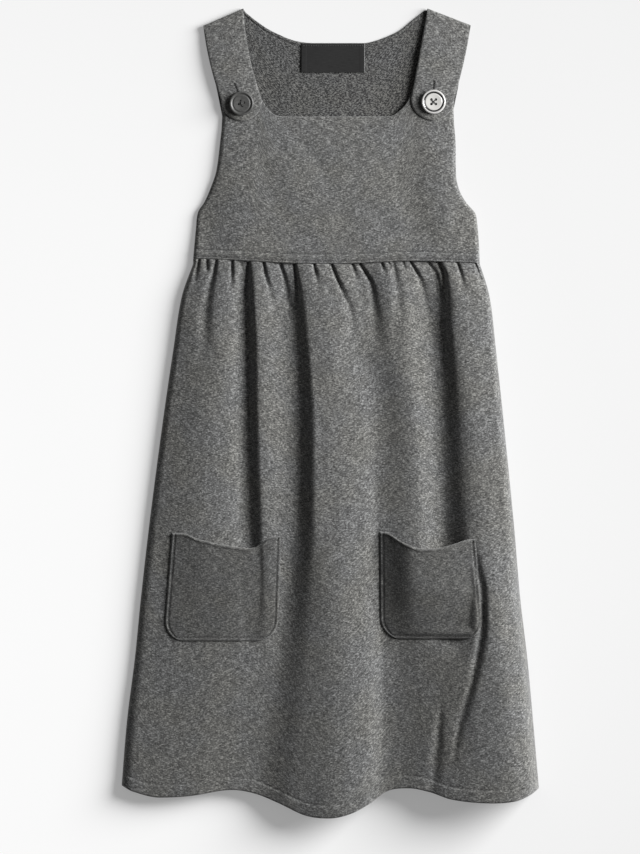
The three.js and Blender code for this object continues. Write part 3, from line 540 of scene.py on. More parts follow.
# %% The shape of the straps
STRAPS = {
    "left": {"fold": [(-117.5, 359), (-80.5, 375)], "tip": (-82, 289.5), "radius": 19,
             "bow": (-2.2, -3.2), "lift": (0.4, 0)},
    "right": {"fold": [(90.5, 375), (130.5, 359.5)], "tip": (95, 291), "radius": 20,
              "bow": (0.2, 1.4), "lift": (0.6, 0)},
}
STRAP_FOLD_RADIUS = 2.4
STRAP_BACK_LENGTH = 6
STRAP_PARTS = [0, 0.2, 0.5, 0.8, 1]
STRAP_RISE = [2 * STRAP_FOLD_RADIUS, 6, 7, 7.6, 7.7]
STRAP_CROWN = 0.6
CROWN_START = 0.125


def strap_plan(strap, u, part):
    """A place on a strap: u runs across it and part runs from the fold to the tip."""
    part = np.clip(part, None, 1)
    edges = []
    for side, (fold_x, fold_y), bow in zip((-1, 1), strap["fold"], strap["bow"]):
        x = mix(fold_x, strap["tip"][0] + side * strap["radius"], part) + bow * 4 * part * (1 - part)
        edges.append((x, mix(fold_y, strap["tip"][1], part)))
    return mix(edges[0][0], edges[1][0], u), mix(edges[0][1], edges[1][1], u)


def strap_length(strap):
    (left_x, left_y), (right_x, right_y) = strap["fold"]
    return math.hypot((left_x + right_x) / 2 - strap["tip"][0], (left_y + right_y) / 2 - strap["tip"][1])


def strap_height(strap, u, part):
    inside = np.clip(part, 0, 1)
    lift = (4 * inside * (1 - inside)) ** 2
    lift = lift * (strap["lift"][0] * (1 - u) ** 2 + strap["lift"][1] * u**2)
    crown = STRAP_CROWN * (2 * u - 1) ** 2 * np.clip(part / CROWN_START, None, 1)
    return smooth(STRAP_PARTS, STRAP_RISE, part) + lift - crown


# %% Points of a strap
STUB_END, FOLD_END, TIP_START = 0.05, 0.17, 0.8
FRONT_EASE = 0.05
LAST_TIP_ANGLE = math.radians(86)
STRAP_ROLL = {"drop": 1.1, "width": 2.4}


def strap_place(strap):
    """The place function of one strap, from the stub on the back to the tip."""
    length = strap_length(strap)
    first_row = STRAP_FOLD_RADIUS / length

    def place(u, v):
        angle = math.pi * np.clip((v - STUB_END) / (FOLD_END - STUB_END), 0, 1)
        stub = np.clip(1 - v / STUB_END, 0, 1)
        front = np.clip((v - FOLD_END) / (TIP_START - FOLD_END), 0, 1)
        inward = STRAP_FOLD_RADIUS * (1 - np.sin(angle)) / length
        part = np.where(v <= FOLD_END, inward, mix(first_row, 1, front))
        part += stub * (STRAP_BACK_LENGTH - STRAP_FOLD_RADIUS) / length
        x, y = strap_plan(strap, u, part)
        z = np.where(v <= FOLD_END, STRAP_FOLD_RADIUS * (1 - np.cos(angle)),
                     strap_height(strap, u, part))
        to_edge = np.minimum(u, 1 - u) * 2 * strap["radius"]
        tip_x, tip_y = strap["tip"]
        tip = LAST_TIP_ANGLE * np.clip((v - TIP_START) / (1 - TIP_START), 0, 1)
        round_x = tip_x + (2 * u - 1) * strap["radius"] * np.cos(tip)
        round_y = tip_y - strap["radius"] * np.sin(tip)
        at_tip = v > TIP_START
        to_edge = np.where(at_tip, strap["radius"] - np.hypot(round_x - tip_x, round_y - tip_y), to_edge)
        x, y = np.where(at_tip, round_x, x), np.where(at_tip, round_y, y)
        on_front = np.clip((v - FOLD_END) / FRONT_EASE, 0, 1)
        z = z - on_front * STRAP_ROLL["drop"] * (1 - edge_turn(to_edge, STRAP_ROLL["width"]))
        return x, y, z

    return place


straps = {}
for side, strap in STRAPS.items():
    straps[side] = cloth_sheet(
        f"jersey_strap_{side}",
        across=crowded(44, (0, 0.05, 3), (1, 0.05, 3)),
        down=crowded(130, (0.11, 0.06, 2), (1, 0.06, 2)),
        place=strap_place(strap), thickness=1.7)

# %% [markdown]
# ## The bodice back
#
# The inside of the back shows through the neck. Its neckline is turned over once and topstitched,
# and the shoulders end where the straps begin. It lies flat on the table.

# %% Edges of the bodice back
NECK_X = [-78.6, -68.5, -57.5, -46.5, -35.5, -24, -13, 9, 31.5, 42.5, 54, 65, 76, 87.4]
NECK_Y = [371.6, 363.5, 356, 350.5, 346, 343.6, 343, 343, 343, 345.2, 349.5, 355, 364, 373]
BACK_LEFT_X = [-126.5, -124, -122, -115.8, -109.3, -104.8, -101.3, -100, -104, -108.5, -112]
BACK_LEFT_Y = [143, 170, 186, 195.5, 210.5, 224.5, 251, 275, 295, 316, 337]
BACK_RIGHT_X = [138.5, 137.5, 135.5, 134, 125.4, 119.4, 116.4, 116, 114.5, 118.5, 122, 125.5]
BACK_RIGHT_Y = [138.5, 160, 180.5, 185.5, 195.5, 206.5, 220.5, 251, 281, 300, 322, 340]
HORN_CLEARANCE = 0.5
HORN_Y = 373.6


def shoulder(strap, u):
    x, y = strap_plan(strap, u, (STRAP_BACK_LENGTH + GAP) / strap_length(strap))
    return float(x), float(y)


def reach_along(points):
    """How far along a line each of its points lies."""
    return np.concatenate([[0], np.cumsum(np.linalg.norm(np.diff(points, axis=0), axis=1))])


def along(points, t):
    """Places on a line through points, at parts of its length from 0 to 1."""
    points = np.asarray(points, dtype=float)
    reach = reach_along(points)
    return [np.interp(t * reach[-1], reach, points[:, axis]) for axis in (0, 1)]


neck_across = np.linspace(NECK_X[0], NECK_X[-1], 60)
neck_line = list(zip(neck_across, smooth(NECK_X, NECK_Y, neck_across)))
left_shoulder = [shoulder(STRAPS["left"], u) for u in (0, 1)]
right_shoulder = [shoulder(STRAPS["right"], u) for u in (0, 1)]
left_horn = (left_shoulder[1][0] + HORN_CLEARANCE, HORN_Y)
right_horn = (right_shoulder[0][0] - HORN_CLEARANCE, HORN_Y)
back_top = [left_shoulder[0], left_horn, *neck_line, right_horn, right_shoulder[1]]
print("The back's top edge runs through", len(back_top), "points")

# %% Make the bodice back
NECK_BAND = 4.2
NECK_RIDGE = {"height": 0.25, "width": 1.4}


def bodice_back_place(u, from_top):
    v = 1 - from_top
    seam_x = np.clip(mix(WAIST_LEFT, WAIST_RIGHT, u), BACK_LEFT_X[0], BACK_RIGHT_X[0])
    seam = (seam_x, seam_y(seam_x) + GAP / 2)
    top = along(back_top, u)
    left = along([*zip(BACK_LEFT_X, BACK_LEFT_Y), left_shoulder[0]], v)
    right = along([*zip(BACK_RIGHT_X, BACK_RIGHT_Y), right_shoulder[1]], v)
    x, y = blended(u, v, seam, top, left, right)
    below_neck = top[1] - y
    z = BACK_CLOTH - groove(below_neck - NECK_BAND) - rolled_edge(below_neck)
    z += NECK_RIDGE["height"] * bump(below_neck - NECK_BAND / 2, NECK_RIDGE["width"])
    return x, y, z


bodice_back = cloth_sheet(
    "jersey_bodice_back",
    across=crowded(190, (0, 0.02, 2), (1, 0.02, 2)),
    down=crowded(120, (0, 0.03, 6)),
    place=bodice_back_place, thickness=1.5, on_table=True)

# %% [markdown]
# ## The pockets
#
# A patch pocket is laid on the skirt and stitched down round its sides and bottom. It follows the
# skirt's own points, moved out, but it is stiffer than the skirt, so it bridges the valleys
# under it. The mouth sags because the cloth is held only at its two corners.

# %% The shape of the pockets
POCKETS = {
    "left": {
        "left_x": (-146.5, -154.5), "right_x": (-45.5, -48.5), "bottom_y": -211.5, "bulge": 3.5,
        "mouth_x": [-146.5, -136.5, -123.5, -106, -86.5, -74, -64, -54, -45.5],
        "mouth_y": [-111.5, -111.5, -116.5, -121, -124.5, -125.5, -122, -115.5, -114.5]},
    "right": {
        "left_x": (46, 46.5), "right_x": (134.5, 142), "bottom_y": -209.5, "bulge": 10.5,
        "mouth_x": [46, 53, 62, 75, 87, 99.5, 116, 127, 134.5],
        "mouth_y": [-110.5, -111, -116.5, -123.5, -126, -125.5, -121, -117.5, -117]},
}
POCKET_CORNER = 20
POCKET_STAND_OFF = 0.2
POCKET_CLOTH = 1.1
BULGE_ACROSS = [0, 0.08, 0.34, 0.6, 0.85, 1]
BULGE_SHARE = [0, 0.25, 1.1, 0.85, 0.4, 0]
BULGE_FADE_POWER = 3
POCKET_SOFTNESS = 1.5
POCKET_EDGE = {"stitches": 3.0, "ridge": 1.4, "ridge_height": 0.25, "ridge_width": 0.8}
MOUTH_CROWDING = 1.4
MOUTH_LIP = {"height": 0.9, "inside": 1.7, "width": 1.0}


def pocket_plan(pocket, u, v):
    top = pocket["mouth_y"][0]
    nominal = mix(top, pocket["bottom_y"], v)
    cut = np.clip(POCKET_CORNER - (nominal - pocket["bottom_y"]), 0, POCKET_CORNER)
    inset = POCKET_CORNER - np.sqrt(POCKET_CORNER**2 - cut**2)
    left = mix(*pocket["left_x"], v) + inset
    right = mix(*pocket["right_x"], v) - inset
    x = mix(left, right, u)
    sag = smooth(pocket["mouth_x"], pocket["mouth_y"], x) - top
    return x, nominal + sag * (1 - v) ** 2, left, right


def pocket_height(pocket, u, v):
    x, y, left, right = pocket_plan(pocket, u, v)
    on_skirt = skirt_height(x, y)
    bridge = mix(skirt_height(left, y), skirt_height(right, y), u)
    bridge = bridge + pocket["bulge"] * smooth(BULGE_ACROSS, BULGE_SHARE, u) * (1 - v ** BULGE_FADE_POWER)
    larger = 0.5 * (on_skirt + bridge + np.hypot(on_skirt - bridge, POCKET_SOFTNESS))
    return np.maximum(on_skirt, larger - POCKET_SOFTNESS / 2) + POCKET_STAND_OFF + POCKET_CLOTH


def pocket_place(pocket):
    """The place function of one pocket, from its mouth to its bottom."""

    def place(u, v):
        x, y, left, right = pocket_plan(pocket, u, v)
        z = pocket_height(pocket, u, v)
        to_side = np.minimum(x - left, right - x)
        to_edge = np.minimum(to_side, y - pocket["bottom_y"])
        z -= rolled_edge(to_edge) + groove(to_edge - POCKET_EDGE["stitches"])
        z += POCKET_EDGE["ridge_height"] * bump(to_edge - POCKET_EDGE["ridge"], POCKET_EDGE["ridge_width"])
        mouth = smooth(pocket["mouth_x"], pocket["mouth_y"], x)
        z -= rolled_edge(mouth - y)
        z += MOUTH_LIP["height"] * bump(mouth - y - MOUTH_LIP["inside"], MOUTH_LIP["width"])
        return x, y, z

    return place


# %% Make the pockets
pockets = {}
for side, pocket in POCKETS.items():
    pockets[side] = cloth_sheet(
        f"jersey_pocket_{side}",
        across=crowded(130, (0, 0.04, 3), (1, 0.04, 3)),
        down=1 - (1 - crowded(110, (0, 0.02, 3), (1, 0.04, 1))) ** MOUTH_CROWDING,
        place=pocket_place(pocket), thickness=POCKET_CLOTH)

# %% [markdown]
# ## Stitches
#
# A machine stitch is a short piece of thread that dips into the cloth at both ends. Each is a
# small ball stretched into a grain of rice and laid along its seam line. All the stitches of a
# seam are one mesh, so hundreds of them cost little.

# %% Lay stitches along lines
STITCH = {"share_of_pitch": 1.9 / 2.6, "thickness": 0.7}
STITCH_PITCH = {"waist": 2.35, "hem": 3.0, "neck": 2.4, "pocket": 2.6, "label": 2.2}


def spaced(points, pitch):
    """Evenly spaced middles along a line in millimetres, with the direction at each one."""
    points = np.asarray(points, dtype=float)
    reach = reach_along(points)
    count = max(1, int(reach[-1] // pitch))
    at = (np.arange(count) + 0.5) * reach[-1] / count
    half = pitch / 4
    middle, before, after = [
        np.stack([np.interp(at + shift, reach, points[:, axis]) for axis in range(3)], axis=1)
        for shift in (0, -half, half)]
    return middle, after - before


def lay_thread(name, placed, length, thickness):
    """One mesh of thread pieces. placed is a list of middles and directions in millimetres."""
    thread = bmesh.new()
    for middle, direction in placed:
        forward = Vector(direction).normalized()
        sideways = Vector((0, 0, 1)).cross(forward).normalized()
        upward = forward.cross(sideways)
        turned = Matrix((forward, sideways, upward)).transposed().to_4x4()
        size = Matrix.Diagonal((length / 2 * MM, thickness / 2 * MM, thickness / 2 * MM, 1))
        place = Matrix.Translation(Vector(middle) * MM) @ turned @ size
        bmesh.ops.create_uvsphere(thread, u_segments=6, v_segments=4, radius=1, matrix=place)
    print(f"{name}: {len(placed)} pieces of thread")
    return new_piece(name, thread)


def stitch_lines(place, *lines, side=""):
    """The stitches of one place on the dress, along one line or several."""
    pitch = STITCH_PITCH[place]
    placed = [stitch for line in lines for stitch in zip(*spaced(line, pitch))]
    length = STITCH["share_of_pitch"] * pitch
    return lay_thread(f"thread_{place}{side}", placed, length, STITCH["thickness"])


# %% Stitches of the waist, the hem and the neck
THREAD_SINK = 0.1
ALONG_SEAM = np.linspace(0.004, 0.996, 300)


def waist_line(above):
    x = mix(WAIST_LEFT + 1, WAIST_RIGHT - 1, ALONG_SEAM)
    y = seam_y(x) + GAP / 2 + above
    edge = edge_turn(np.minimum(x - WAIST_LEFT, WAIST_RIGHT - x), BODICE_ROLL)
    height = bodice_height(x, y) + seam_band(above) - STITCH_GROOVE["depth"]
    z = FRONT_FLOOR + (height - FRONT_FLOOR) * edge + THREAD_SINK
    return np.stack([x, y, z], axis=1)


waist_stitches = stitch_lines("waist", *[waist_line(row) for row in WAIST_STITCHES.values()])

hem_x, _, hem_edge = skirt_plan(ALONG_SEAM, np.ones_like(ALONG_SEAM))
hem_y = hem_edge + HEM_BAND
hem_z = skirt_height(hem_x, hem_y) - STITCH_GROOVE["depth"] + THREAD_SINK
hem_stitches = stitch_lines("hem", np.stack([hem_x, hem_y, hem_z], axis=1))

neck_slope = np.gradient(smooth(NECK_X, NECK_Y, neck_across), neck_across)
neck_lean = np.hypot(1, neck_slope)
neck_stitch_line = np.stack([
    neck_across + NECK_BAND * neck_slope / neck_lean,
    smooth(NECK_X, NECK_Y, neck_across) - NECK_BAND / neck_lean,
    np.full_like(neck_across, BACK_CLOTH - STITCH_GROOVE["depth"] + 2 * THREAD_SINK)], axis=1)
neck_stitches = stitch_lines("neck", neck_stitch_line)

# %% Stitches of the pockets
POCKET_DEPTH = 98
TOP_OF_STITCHES = 0.03
STEPS = 60


def pocket_stitch_line(pocket, inset):
    """A line that runs down one side of a pocket, along its bottom and up the other side."""
    down = np.linspace(TOP_OF_STITCHES, 1 - inset / POCKET_DEPTH, STEPS)
    inner = inset / (pocket["right_x"][1] - pocket["left_x"][1])
    across = np.linspace(inner, 1 - inner, STEPS)
    u = np.concatenate([np.full(STEPS, inner), across, np.full(STEPS, 1 - inner)])
    v = np.concatenate([down, np.full(STEPS, down[-1]), down[::-1]])
    x, y, _, _ = pocket_plan(pocket, u, v)
    z = pocket_height(pocket, u, v) - STITCH_GROOVE["depth"] + THREAD_SINK
    return np.stack([x, y, z], axis=1)


pocket_stitches = {
    side: stitch_lines("pocket", pocket_stitch_line(pocket, POCKET_EDGE["stitches"]), side=f"_{side}")
    for side, pocket in POCKETS.items()}

# %% [markdown]
# ## The buttons
#
# A shirt-style button is turned: a raised rim, a groove and a dished middle with four holes. Its
# profile is spun round its axis, and the holes are cut with a Boolean, because each one really
# goes through. The thread crosses between the holes.

# %% Turn and drill a button
BUTTON_RADIUS = 11.25
BUTTON_PROFILE = [
    (0, 0), (0.70, 0), (0.84, 0.25), (0.94, 0.9), (0.99, 1.6), (1, 2.1), (0.985, 2.55), (0.95, 2.88),
    (0.91, 3), (0.865, 2.95), (0.835, 2.75), (0.81, 2.45), (0.785, 2.15), (0.75, 2.02), (0.715, 2.1),
    (0.69, 2.3), (0.66, 2.4), (0.6, 2.36), (0.4, 2.1), (0.2, 1.95), (0, 1.9),
]
BUTTONS = {
    "left": {"x": -82, "y": 286.5, "spacing": 3.6, "turn": -30, "hole": 2},
    "right": {"x": 96, "y": 288, "spacing": 4.2, "turn": 0, "hole": 2.4},
}
DRILL_LENGTH = 12
ROUND_STEPS = {"button": 72, "hole": 20}
SHARP_EDGE = math.radians(50)


def hole_places(button):
    reach = button["spacing"] / math.sqrt(2)
    angles = [math.radians(button["turn"] + 45 + 90 * k) for k in range(4)]
    return [(reach * math.cos(a), reach * math.sin(a)) for a in angles]


def turned_button(name, button, level):
    disc = bmesh.new()
    outline = [disc.verts.new((r * BUTTON_RADIUS * MM, 0, z * MM)) for r, z in BUTTON_PROFILE]
    for a, b in zip(outline, outline[1:]):
        disc.edges.new((a, b))
    bmesh.ops.spin(disc, geom=disc.verts[:] + disc.edges[:], cent=(0, 0, 0), axis=(0, 0, 1),
                   dvec=(0, 0, 0), angle=2 * math.pi, steps=ROUND_STEPS["button"],
                   use_merge=True, use_duplicate=False)
    bmesh.ops.remove_doubles(disc, verts=disc.verts[:], dist=0.01 * MM)
    bmesh.ops.recalc_face_normals(disc, faces=disc.faces[:])
    piece = new_piece(name, disc)
    drills = bmesh.new()
    radius = button["hole"] / 2 * MM
    for x, y in hole_places(button):
        bmesh.ops.create_cone(
            drills, cap_ends=True, segments=ROUND_STEPS["hole"], radius1=radius, radius2=radius,
            depth=DRILL_LENGTH * MM, matrix=Matrix.Translation((x * MM, y * MM, 0)))
    cutter = new_piece(f"{name}_drill", drills)
    drilled = piece.modifiers.new("thread holes", "BOOLEAN")
    drilled.operation = "DIFFERENCE"
    drilled.solver = "EXACT"
    drilled.object = cutter
    shown = piece.evaluated_get(bpy.context.evaluated_depsgraph_get())
    mesh = bpy.data.meshes.new_from_object(shown)
    piece.modifiers.clear()
    piece.data = mesh
    bpy.data.objects.remove(cutter)
    mesh.transform(Matrix.Translation((button["x"] * MM, button["y"] * MM, level)))
    mesh.set_sharp_from_angle(angle=SHARP_EDGE)
    print(f"{name}: {len(mesh.polygons)} faces")
    return piece


buttons = {}
for side, button in BUTTONS.items():
    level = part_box(f"button_{side}")[0][2]
    button["level"] = level / MM
    buttons[side] = turned_button(f"button_turned_{side}", button, level)

# %% Thread across the holes, and black thread with painted shade inside them
STRAND = {"thickness": 0.5, "level": 2.1, "second_rise": 0.3, "beside": 0.225, "past_holes": 0.6}
BUNDLE = {"length": 1.6, "level": 0.9, "share_of_hole": 0.9, "direction": (0.05, 0, 1)}


def button_thread(name, button):
    """Strands that cross between opposite holes, two on each diagonal."""
    strands = []
    holes = [Vector((x, y, 0)) for x, y in hole_places(button)]
    centre = Vector((button["x"], button["y"], button["level"] + STRAND["level"]))
    for number, (start, end) in enumerate([(holes[0], holes[2]), (holes[1], holes[3])]):
        direction = end - start
        beside = Vector((-direction.y, direction.x, 0)).normalized() * STRAND["beside"]
        rise = Vector((0, 0, STRAND["second_rise"] * number))
        strands += [(centre + beside * shift + rise, direction) for shift in (-1, 1)]
    length = button["spacing"] * math.sqrt(2) + STRAND["past_holes"]
    return lay_thread(name, strands, length, STRAND["thickness"])


def thread_and_painted_shade_in_holes(name, button):
    """The bundle of thread that fills each hole, drawn black on both buttons: partly the thread and partly
    painted shade in the hole. It is tilted a little, since it is never upright.
    """
    level = button["level"] + BUNDLE["level"]
    bundles = [((button["x"] + x, button["y"] + y, level), BUNDLE["direction"])
               for x, y in hole_places(button)]
    return lay_thread(name, bundles, BUNDLE["length"], BUNDLE["share_of_hole"] * button["hole"])


button_threads = {side: button_thread(f"thread_button_{side}", button) for side, button in BUTTONS.items()}
hole_threads_and_painted_shade = {side: thread_and_painted_shade_in_holes(f"thread_and_painted_shade_holes_{side}", button) for side, button in BUTTONS.items()}

# %% [markdown]
# ## Buttonholes
#
# The straps are fastened through short buttonholes. The end of each one shows above its button
# between two rows of close stitches that stand across it. The shade in its slit is painted with a
# row of black thread pieces.

# %% Stitch the buttonholes
BUTTONHOLES = {
    "left": {"top": (-87.6, 305), "bottom": (-84.5, 297)},
    "right": {"top": (97.5, 307), "bottom": (96.3, 298)},
}
BAR = {"count": 16, "aside": 0.75, "rise": 0.12, "length": 1.1, "thickness": 0.5}
# Black thread pieces laid along each slit, as painted shade in the cut.
SLIT_SHADE = {"every": 3, "rise": 0.15, "length": 2.6, "thickness": 0.95}


def strap_level(strap, y):
    """The height of a strap's face halfway across, at a place on its straight part."""
    fold_y = (strap["fold"][0][1] + strap["fold"][1][1]) / 2
    part = (y - fold_y) / (strap["tip"][1] - fold_y)
    return float(strap_height(strap, np.array([0.5]), np.array([part]))[0])


buttonhole_threads = {}
buttonhole_slit_shades = {}
for side, hole in BUTTONHOLES.items():
    top, bottom = Vector(hole["top"]), Vector(hole["bottom"])
    run = bottom - top
    aside = Vector((-run.y, run.x)).normalized()
    bars, slit_shade = [], []
    for t in np.linspace(0, 1, BAR["count"]):
        middle = top + run * t
        z = strap_level(STRAPS[side], middle.y)
        for shift in (-BAR["aside"], BAR["aside"]):
            place = middle + aside * shift
            bars.append(((place.x, place.y, z + BAR["rise"]), (aside.x, aside.y, 0)))
        slit_shade.append(((middle.x, middle.y, z + SLIT_SHADE["rise"]), (run.x, run.y, 0)))
    buttonhole_threads[side] = lay_thread(
        f"thread_buttonhole_{side}", bars, BAR["length"], BAR["thickness"])
    # The black pieces along the slit are painted shade in the cut.
    buttonhole_slit_shades[side] = lay_thread(
        f"painted_shade_slit_buttonhole_{side}", slit_shade[::SLIT_SHADE["every"]], SLIT_SHADE["length"], SLIT_SHADE["thickness"])

# %% [markdown]
# ## The neck label
#
# The label is a piece of black satin ribbon with its ends folded under, sewn in along its top
# edge. It is left bare. It lies a little proud of the back and its lower edge lifts slightly, so
# it casts a thin shadow.

# %% Make the label
LABEL = {"width": 59, "height": 27, "middle_x": 2.75, "top_y": 342.7, "level": 2.5}
LOWER_EDGE_LIFT = 0.5
LABEL_WAVE = 0.12
SEWN_EDGE = {"depth": 0.3, "length": 0.12}
END_FOLD = {"width": 5, "rise": 0.06, "ease": 2.5}
LABEL_ROLL = {"drop": 0.3, "width": 0.8}
LABEL_STITCHES = {"below_top": 2.2, "rise": 0.12, "half_share": 0.48}


def label_place(u, v):
    x = LABEL["middle_x"] + (u - 0.5) * LABEL["width"]
    y = LABEL["top_y"] - v * LABEL["height"]
    z = LABEL["level"] + LOWER_EDGE_LIFT * v**2 + LABEL_WAVE * np.sin(5 * u + 2 * v)
    z -= SEWN_EDGE["depth"] * bump(v, SEWN_EDGE["length"])
    to_end = np.minimum(u, 1 - u) * LABEL["width"]
    on_fold = to_end < END_FOLD["width"]
    z += END_FOLD["rise"] * on_fold * edge_turn(END_FOLD["width"] - to_end, END_FOLD["ease"])
    to_edge = np.minimum(to_end, v * LABEL["height"])
    z -= LABEL_ROLL["drop"] * (1 - edge_turn(to_edge, LABEL_ROLL["width"]))
    return x, y, z


label = cloth_sheet(
    "satin_label",
    across=crowded(100, (0, 0.03, 2), (1, 0.03, 2), (0.085, 0.02, 3), (0.915, 0.02, 3)),
    down=crowded(48, (0, 0.05, 2), (1, 0.05, 2)),
    place=label_place, thickness=0.5)
half_line = LABEL_STITCHES["half_share"] * LABEL["width"]
label_line = [(LABEL["middle_x"] + end, LABEL["top_y"] - LABEL_STITCHES["below_top"],
               LABEL["level"] + LABEL_STITCHES["rise"]) for end in (-half_line, half_line)]
label_stitches = stitch_lines("label", label_line)

# %% [markdown]
# ## Node materials
#
# One function turns the usual sRGB hex colours to the linear values that the shader works in.
# Another adds a node with its settings and links, and everything else is built with those two.

# %% Two helpers for materials
def linear(hex_colour):
    """An sRGB hex colour as linear red, green, blue and alpha."""
    parts = [int(hex_colour[k:k + 2], 16) / 255 for k in (1, 3, 5)]
    return (*[p / 12.92 if p <= 0.04045 else ((p + 0.055) / 1.055) ** 2.4 for p in parts], 1)


def add_node(tree, kind, settings=None, links=None):
    """A new node. A setting is one of its sockets, by name or number, or a property."""
    node = tree.nodes.new(kind)
    for name, value in (settings or {}).items():
        if isinstance(name, int) or name in node.inputs.keys():
            node.inputs[name].default_value = value
        else:
            setattr(node, name, value)
    for name, source in (links or {}).items():
        tree.links.new(source, node.inputs[name])
    return node


def maths(tree, operation, *terms):
    """The result of a sum, product or the like. A term is a number or another node's socket."""
    sockets = {k: term for k, term in enumerate(terms) if not isinstance(term, (int, float))}
    numbers = {k: term for k, term in enumerate(terms) if k not in sockets}
    return add_node(tree, "ShaderNodeMath", {"operation": operation, **numbers}, sockets).outputs[0]


def flat_noise(tree, vector, scale=1, detail=2, roughness=0.5):
    """Noise over the cloth. Its scale is one number, or one for each direction."""
    if isinstance(scale, tuple):
        vector = add_node(tree, "ShaderNodeMapping", {"Scale": (*scale, 1)}, {"Vector": vector}).outputs[0]
        scale = 1
    settings = {"noise_dimensions": "2D", "Scale": scale, "Detail": detail, "Roughness": roughness}
    return add_node(tree, "ShaderNodeTexNoise", settings, {"Vector": vector}).outputs[0]


def new_material(name, settings):
    """An empty material with a Principled shader, its node tree and that shader."""
    material = bpy.data.materials.new(name)
    material.use_nodes = True
    shader = material.node_tree.nodes["Principled BSDF"]
    for socket, value in settings.items():
        shader.inputs[socket].default_value = value
    return material, material.node_tree, shader


def colour_ramp(tree, source, stops):
    """A colour that depends on a value. A stop is a position with a hex colour or linear parts."""
    ramp = add_node(tree, "ShaderNodeValToRGB", links={"Fac": source})
    elements = ramp.color_ramp.elements
    while len(elements) < len(stops):
        elements.new(0.5)
    for element, (position, colour) in zip(elements, stops):
        element.position = position
        element.color = linear(colour) if isinstance(colour, str) else colour
    return ramp.outputs["Color"]


# %% [markdown]
# ## Marl jersey
#
# Marl yarn is spun from light and dark fibres, so each course of the knit shows short streaks a
# few stitches long. A course is drawn 1.2 mm high, and 1.3 mm on the inside, a little coarser than
# the real 0.9 mm, so that it shows. Each course takes its own stretch of a one-dimensional noise,
# so its streaks don't line up with those above. Fine flat specks, soft clouds and a low bump lie
# on that. The cloth is matt with a slight nap, which the sheen gives.

# %% The marl jersey and its inside
COURSE_SWAY = {"scale": 90, "reach": 0.00015}
APART_ON_YARN = 500.0
SPECK_SHAPE = (0.4, 1.2)
CLOUDS = (45, 130)
TINT_SCALE = 22
RELIEF = {"Strength": 0.5, "Distance": 0.0003}


def marl_jersey(name, stops, course, streak, speck, weights):
    material, tree, shader = new_material(name, {
        "Roughness": 0.92, "IOR": 1.45, "Specular IOR Level": 0.25,
        "Sheen Weight": 0.25, "Sheen Roughness": 0.55})
    uv = add_node(tree, "ShaderNodeUVMap", {"uv_map": "cloth"}).outputs["UV"]
    wander = flat_noise(tree, uv, COURSE_SWAY["scale"], detail=1)
    sway = maths(tree, "MULTIPLY_ADD", wander, 2 * COURSE_SWAY["reach"], -COURSE_SWAY["reach"])
    apart = add_node(tree, "ShaderNodeSeparateXYZ", links={"Vector": uv})
    height = maths(tree, "ADD", apart.outputs["Y"], sway)
    number = maths(tree, "FLOOR", maths(tree, "DIVIDE", height, course))
    chance = add_node(tree, "ShaderNodeTexWhiteNoise", {"noise_dimensions": "1D"}, {"W": number})
    start = maths(tree, "MULTIPLY", chance.outputs["Value"], APART_ON_YARN)
    yarn = maths(tree, "MULTIPLY_ADD", apart.outputs["X"], 1 / streak, start)
    streaks = add_node(tree, "ShaderNodeTexNoise",
                       {"noise_dimensions": "1D", "Scale": 1, "Detail": 4, "Roughness": 0.9},
                       {"W": yarn}).outputs[0]
    specks = flat_noise(tree, uv, tuple(share / speck for share in SPECK_SHAPE), roughness=0.7)
    clouds = flat_noise(tree, uv, CLOUDS, detail=3, roughness=0.55)
    total = maths(tree, "MULTIPLY", streaks, weights[0])
    total = maths(tree, "MULTIPLY_ADD", specks, weights[1], total)
    total = maths(tree, "MULTIPLY_ADD", clouds, weights[2], total)
    tint = flat_noise(tree, uv, TINT_SCALE)
    grey = colour_ramp(tree, total, stops)
    warmth = colour_ramp(tree, tint, [(0.35, "#fffefb"), (0.65, "#fbfcff")])
    colour = add_node(tree, "ShaderNodeMix", {"data_type": "RGBA", "blend_type": "MULTIPLY", 0: 1.0},
                      {6: grey, 7: warmth}).outputs[2]
    tree.links.new(colour, shader.inputs["Base Color"])
    relief = add_node(tree, "ShaderNodeBump", RELIEF, {"Height": total})
    tree.links.new(relief.outputs["Normal"], shader.inputs["Normal"])
    return material


OUTSIDE = {"course": 0.0012, "streak": 0.008, "speck": 0.0009, "weights": (0.5, 0.43, 0.07)}
INSIDE = {"course": 0.0013, "streak": 0.005, "speck": 0.0009, "weights": (0.42, 0.52, 0.06)}
jersey = marl_jersey(
    "marl double jersey", [(0.37, "#1d1d1c"), (0.5, "#484847"), (0.63, "#7c7c7a")], **OUTSIDE)
# The pockets take a darker copy of the same jersey.
jersey_pockets = marl_jersey(
    "marl double jersey, darker copy for the pockets", [(0.37, "#171716"), (0.5, "#3b3b3a"), (0.63, "#666664")], **OUTSIDE)
jersey_inside = marl_jersey(
    "marl double jersey, inside", [(0.43, "#0e0e0e"), (0.5, "#2a2a2a"), (0.57, "#626260")], **INSIDE)
print("Made", jersey.name + ",", jersey_pockets.name, "and", jersey_inside.name)

# %% [markdown]
# ## Trims
#
# The buttons are moulded polyester. The left one is mid grey with faint swirls and a dull polish.
# The right one is pearl white with a dark grey groove, and glossier. The label is woven satin,
# which is black with a soft gloss, and the thread is matt polyester, darker than the cloth. The
# thread of the waist and neck is darker again, which is partly its own colour and partly painted
# shade of the grooves it lies in.

# %% Button, satin and thread finishes
def grey_button_finish():
    material, tree, shader = new_material("moulded polyester, grey", {
        "Roughness": 0.45, "IOR": 1.48, "Coat Weight": 0.08, "Coat Roughness": 0.3})
    here = add_node(tree, "ShaderNodeTexCoord").outputs["Object"]
    swirl = add_node(tree, "ShaderNodeTexNoise", {"Scale": 320, "Detail": 3, "Distortion": 1.2},
                     {"Vector": here}).outputs[0]
    grey = colour_ramp(tree, swirl, [(0.3, "#333332"), (0.7, "#454544")])
    tree.links.new(grey, shader.inputs["Base Color"])
    return material


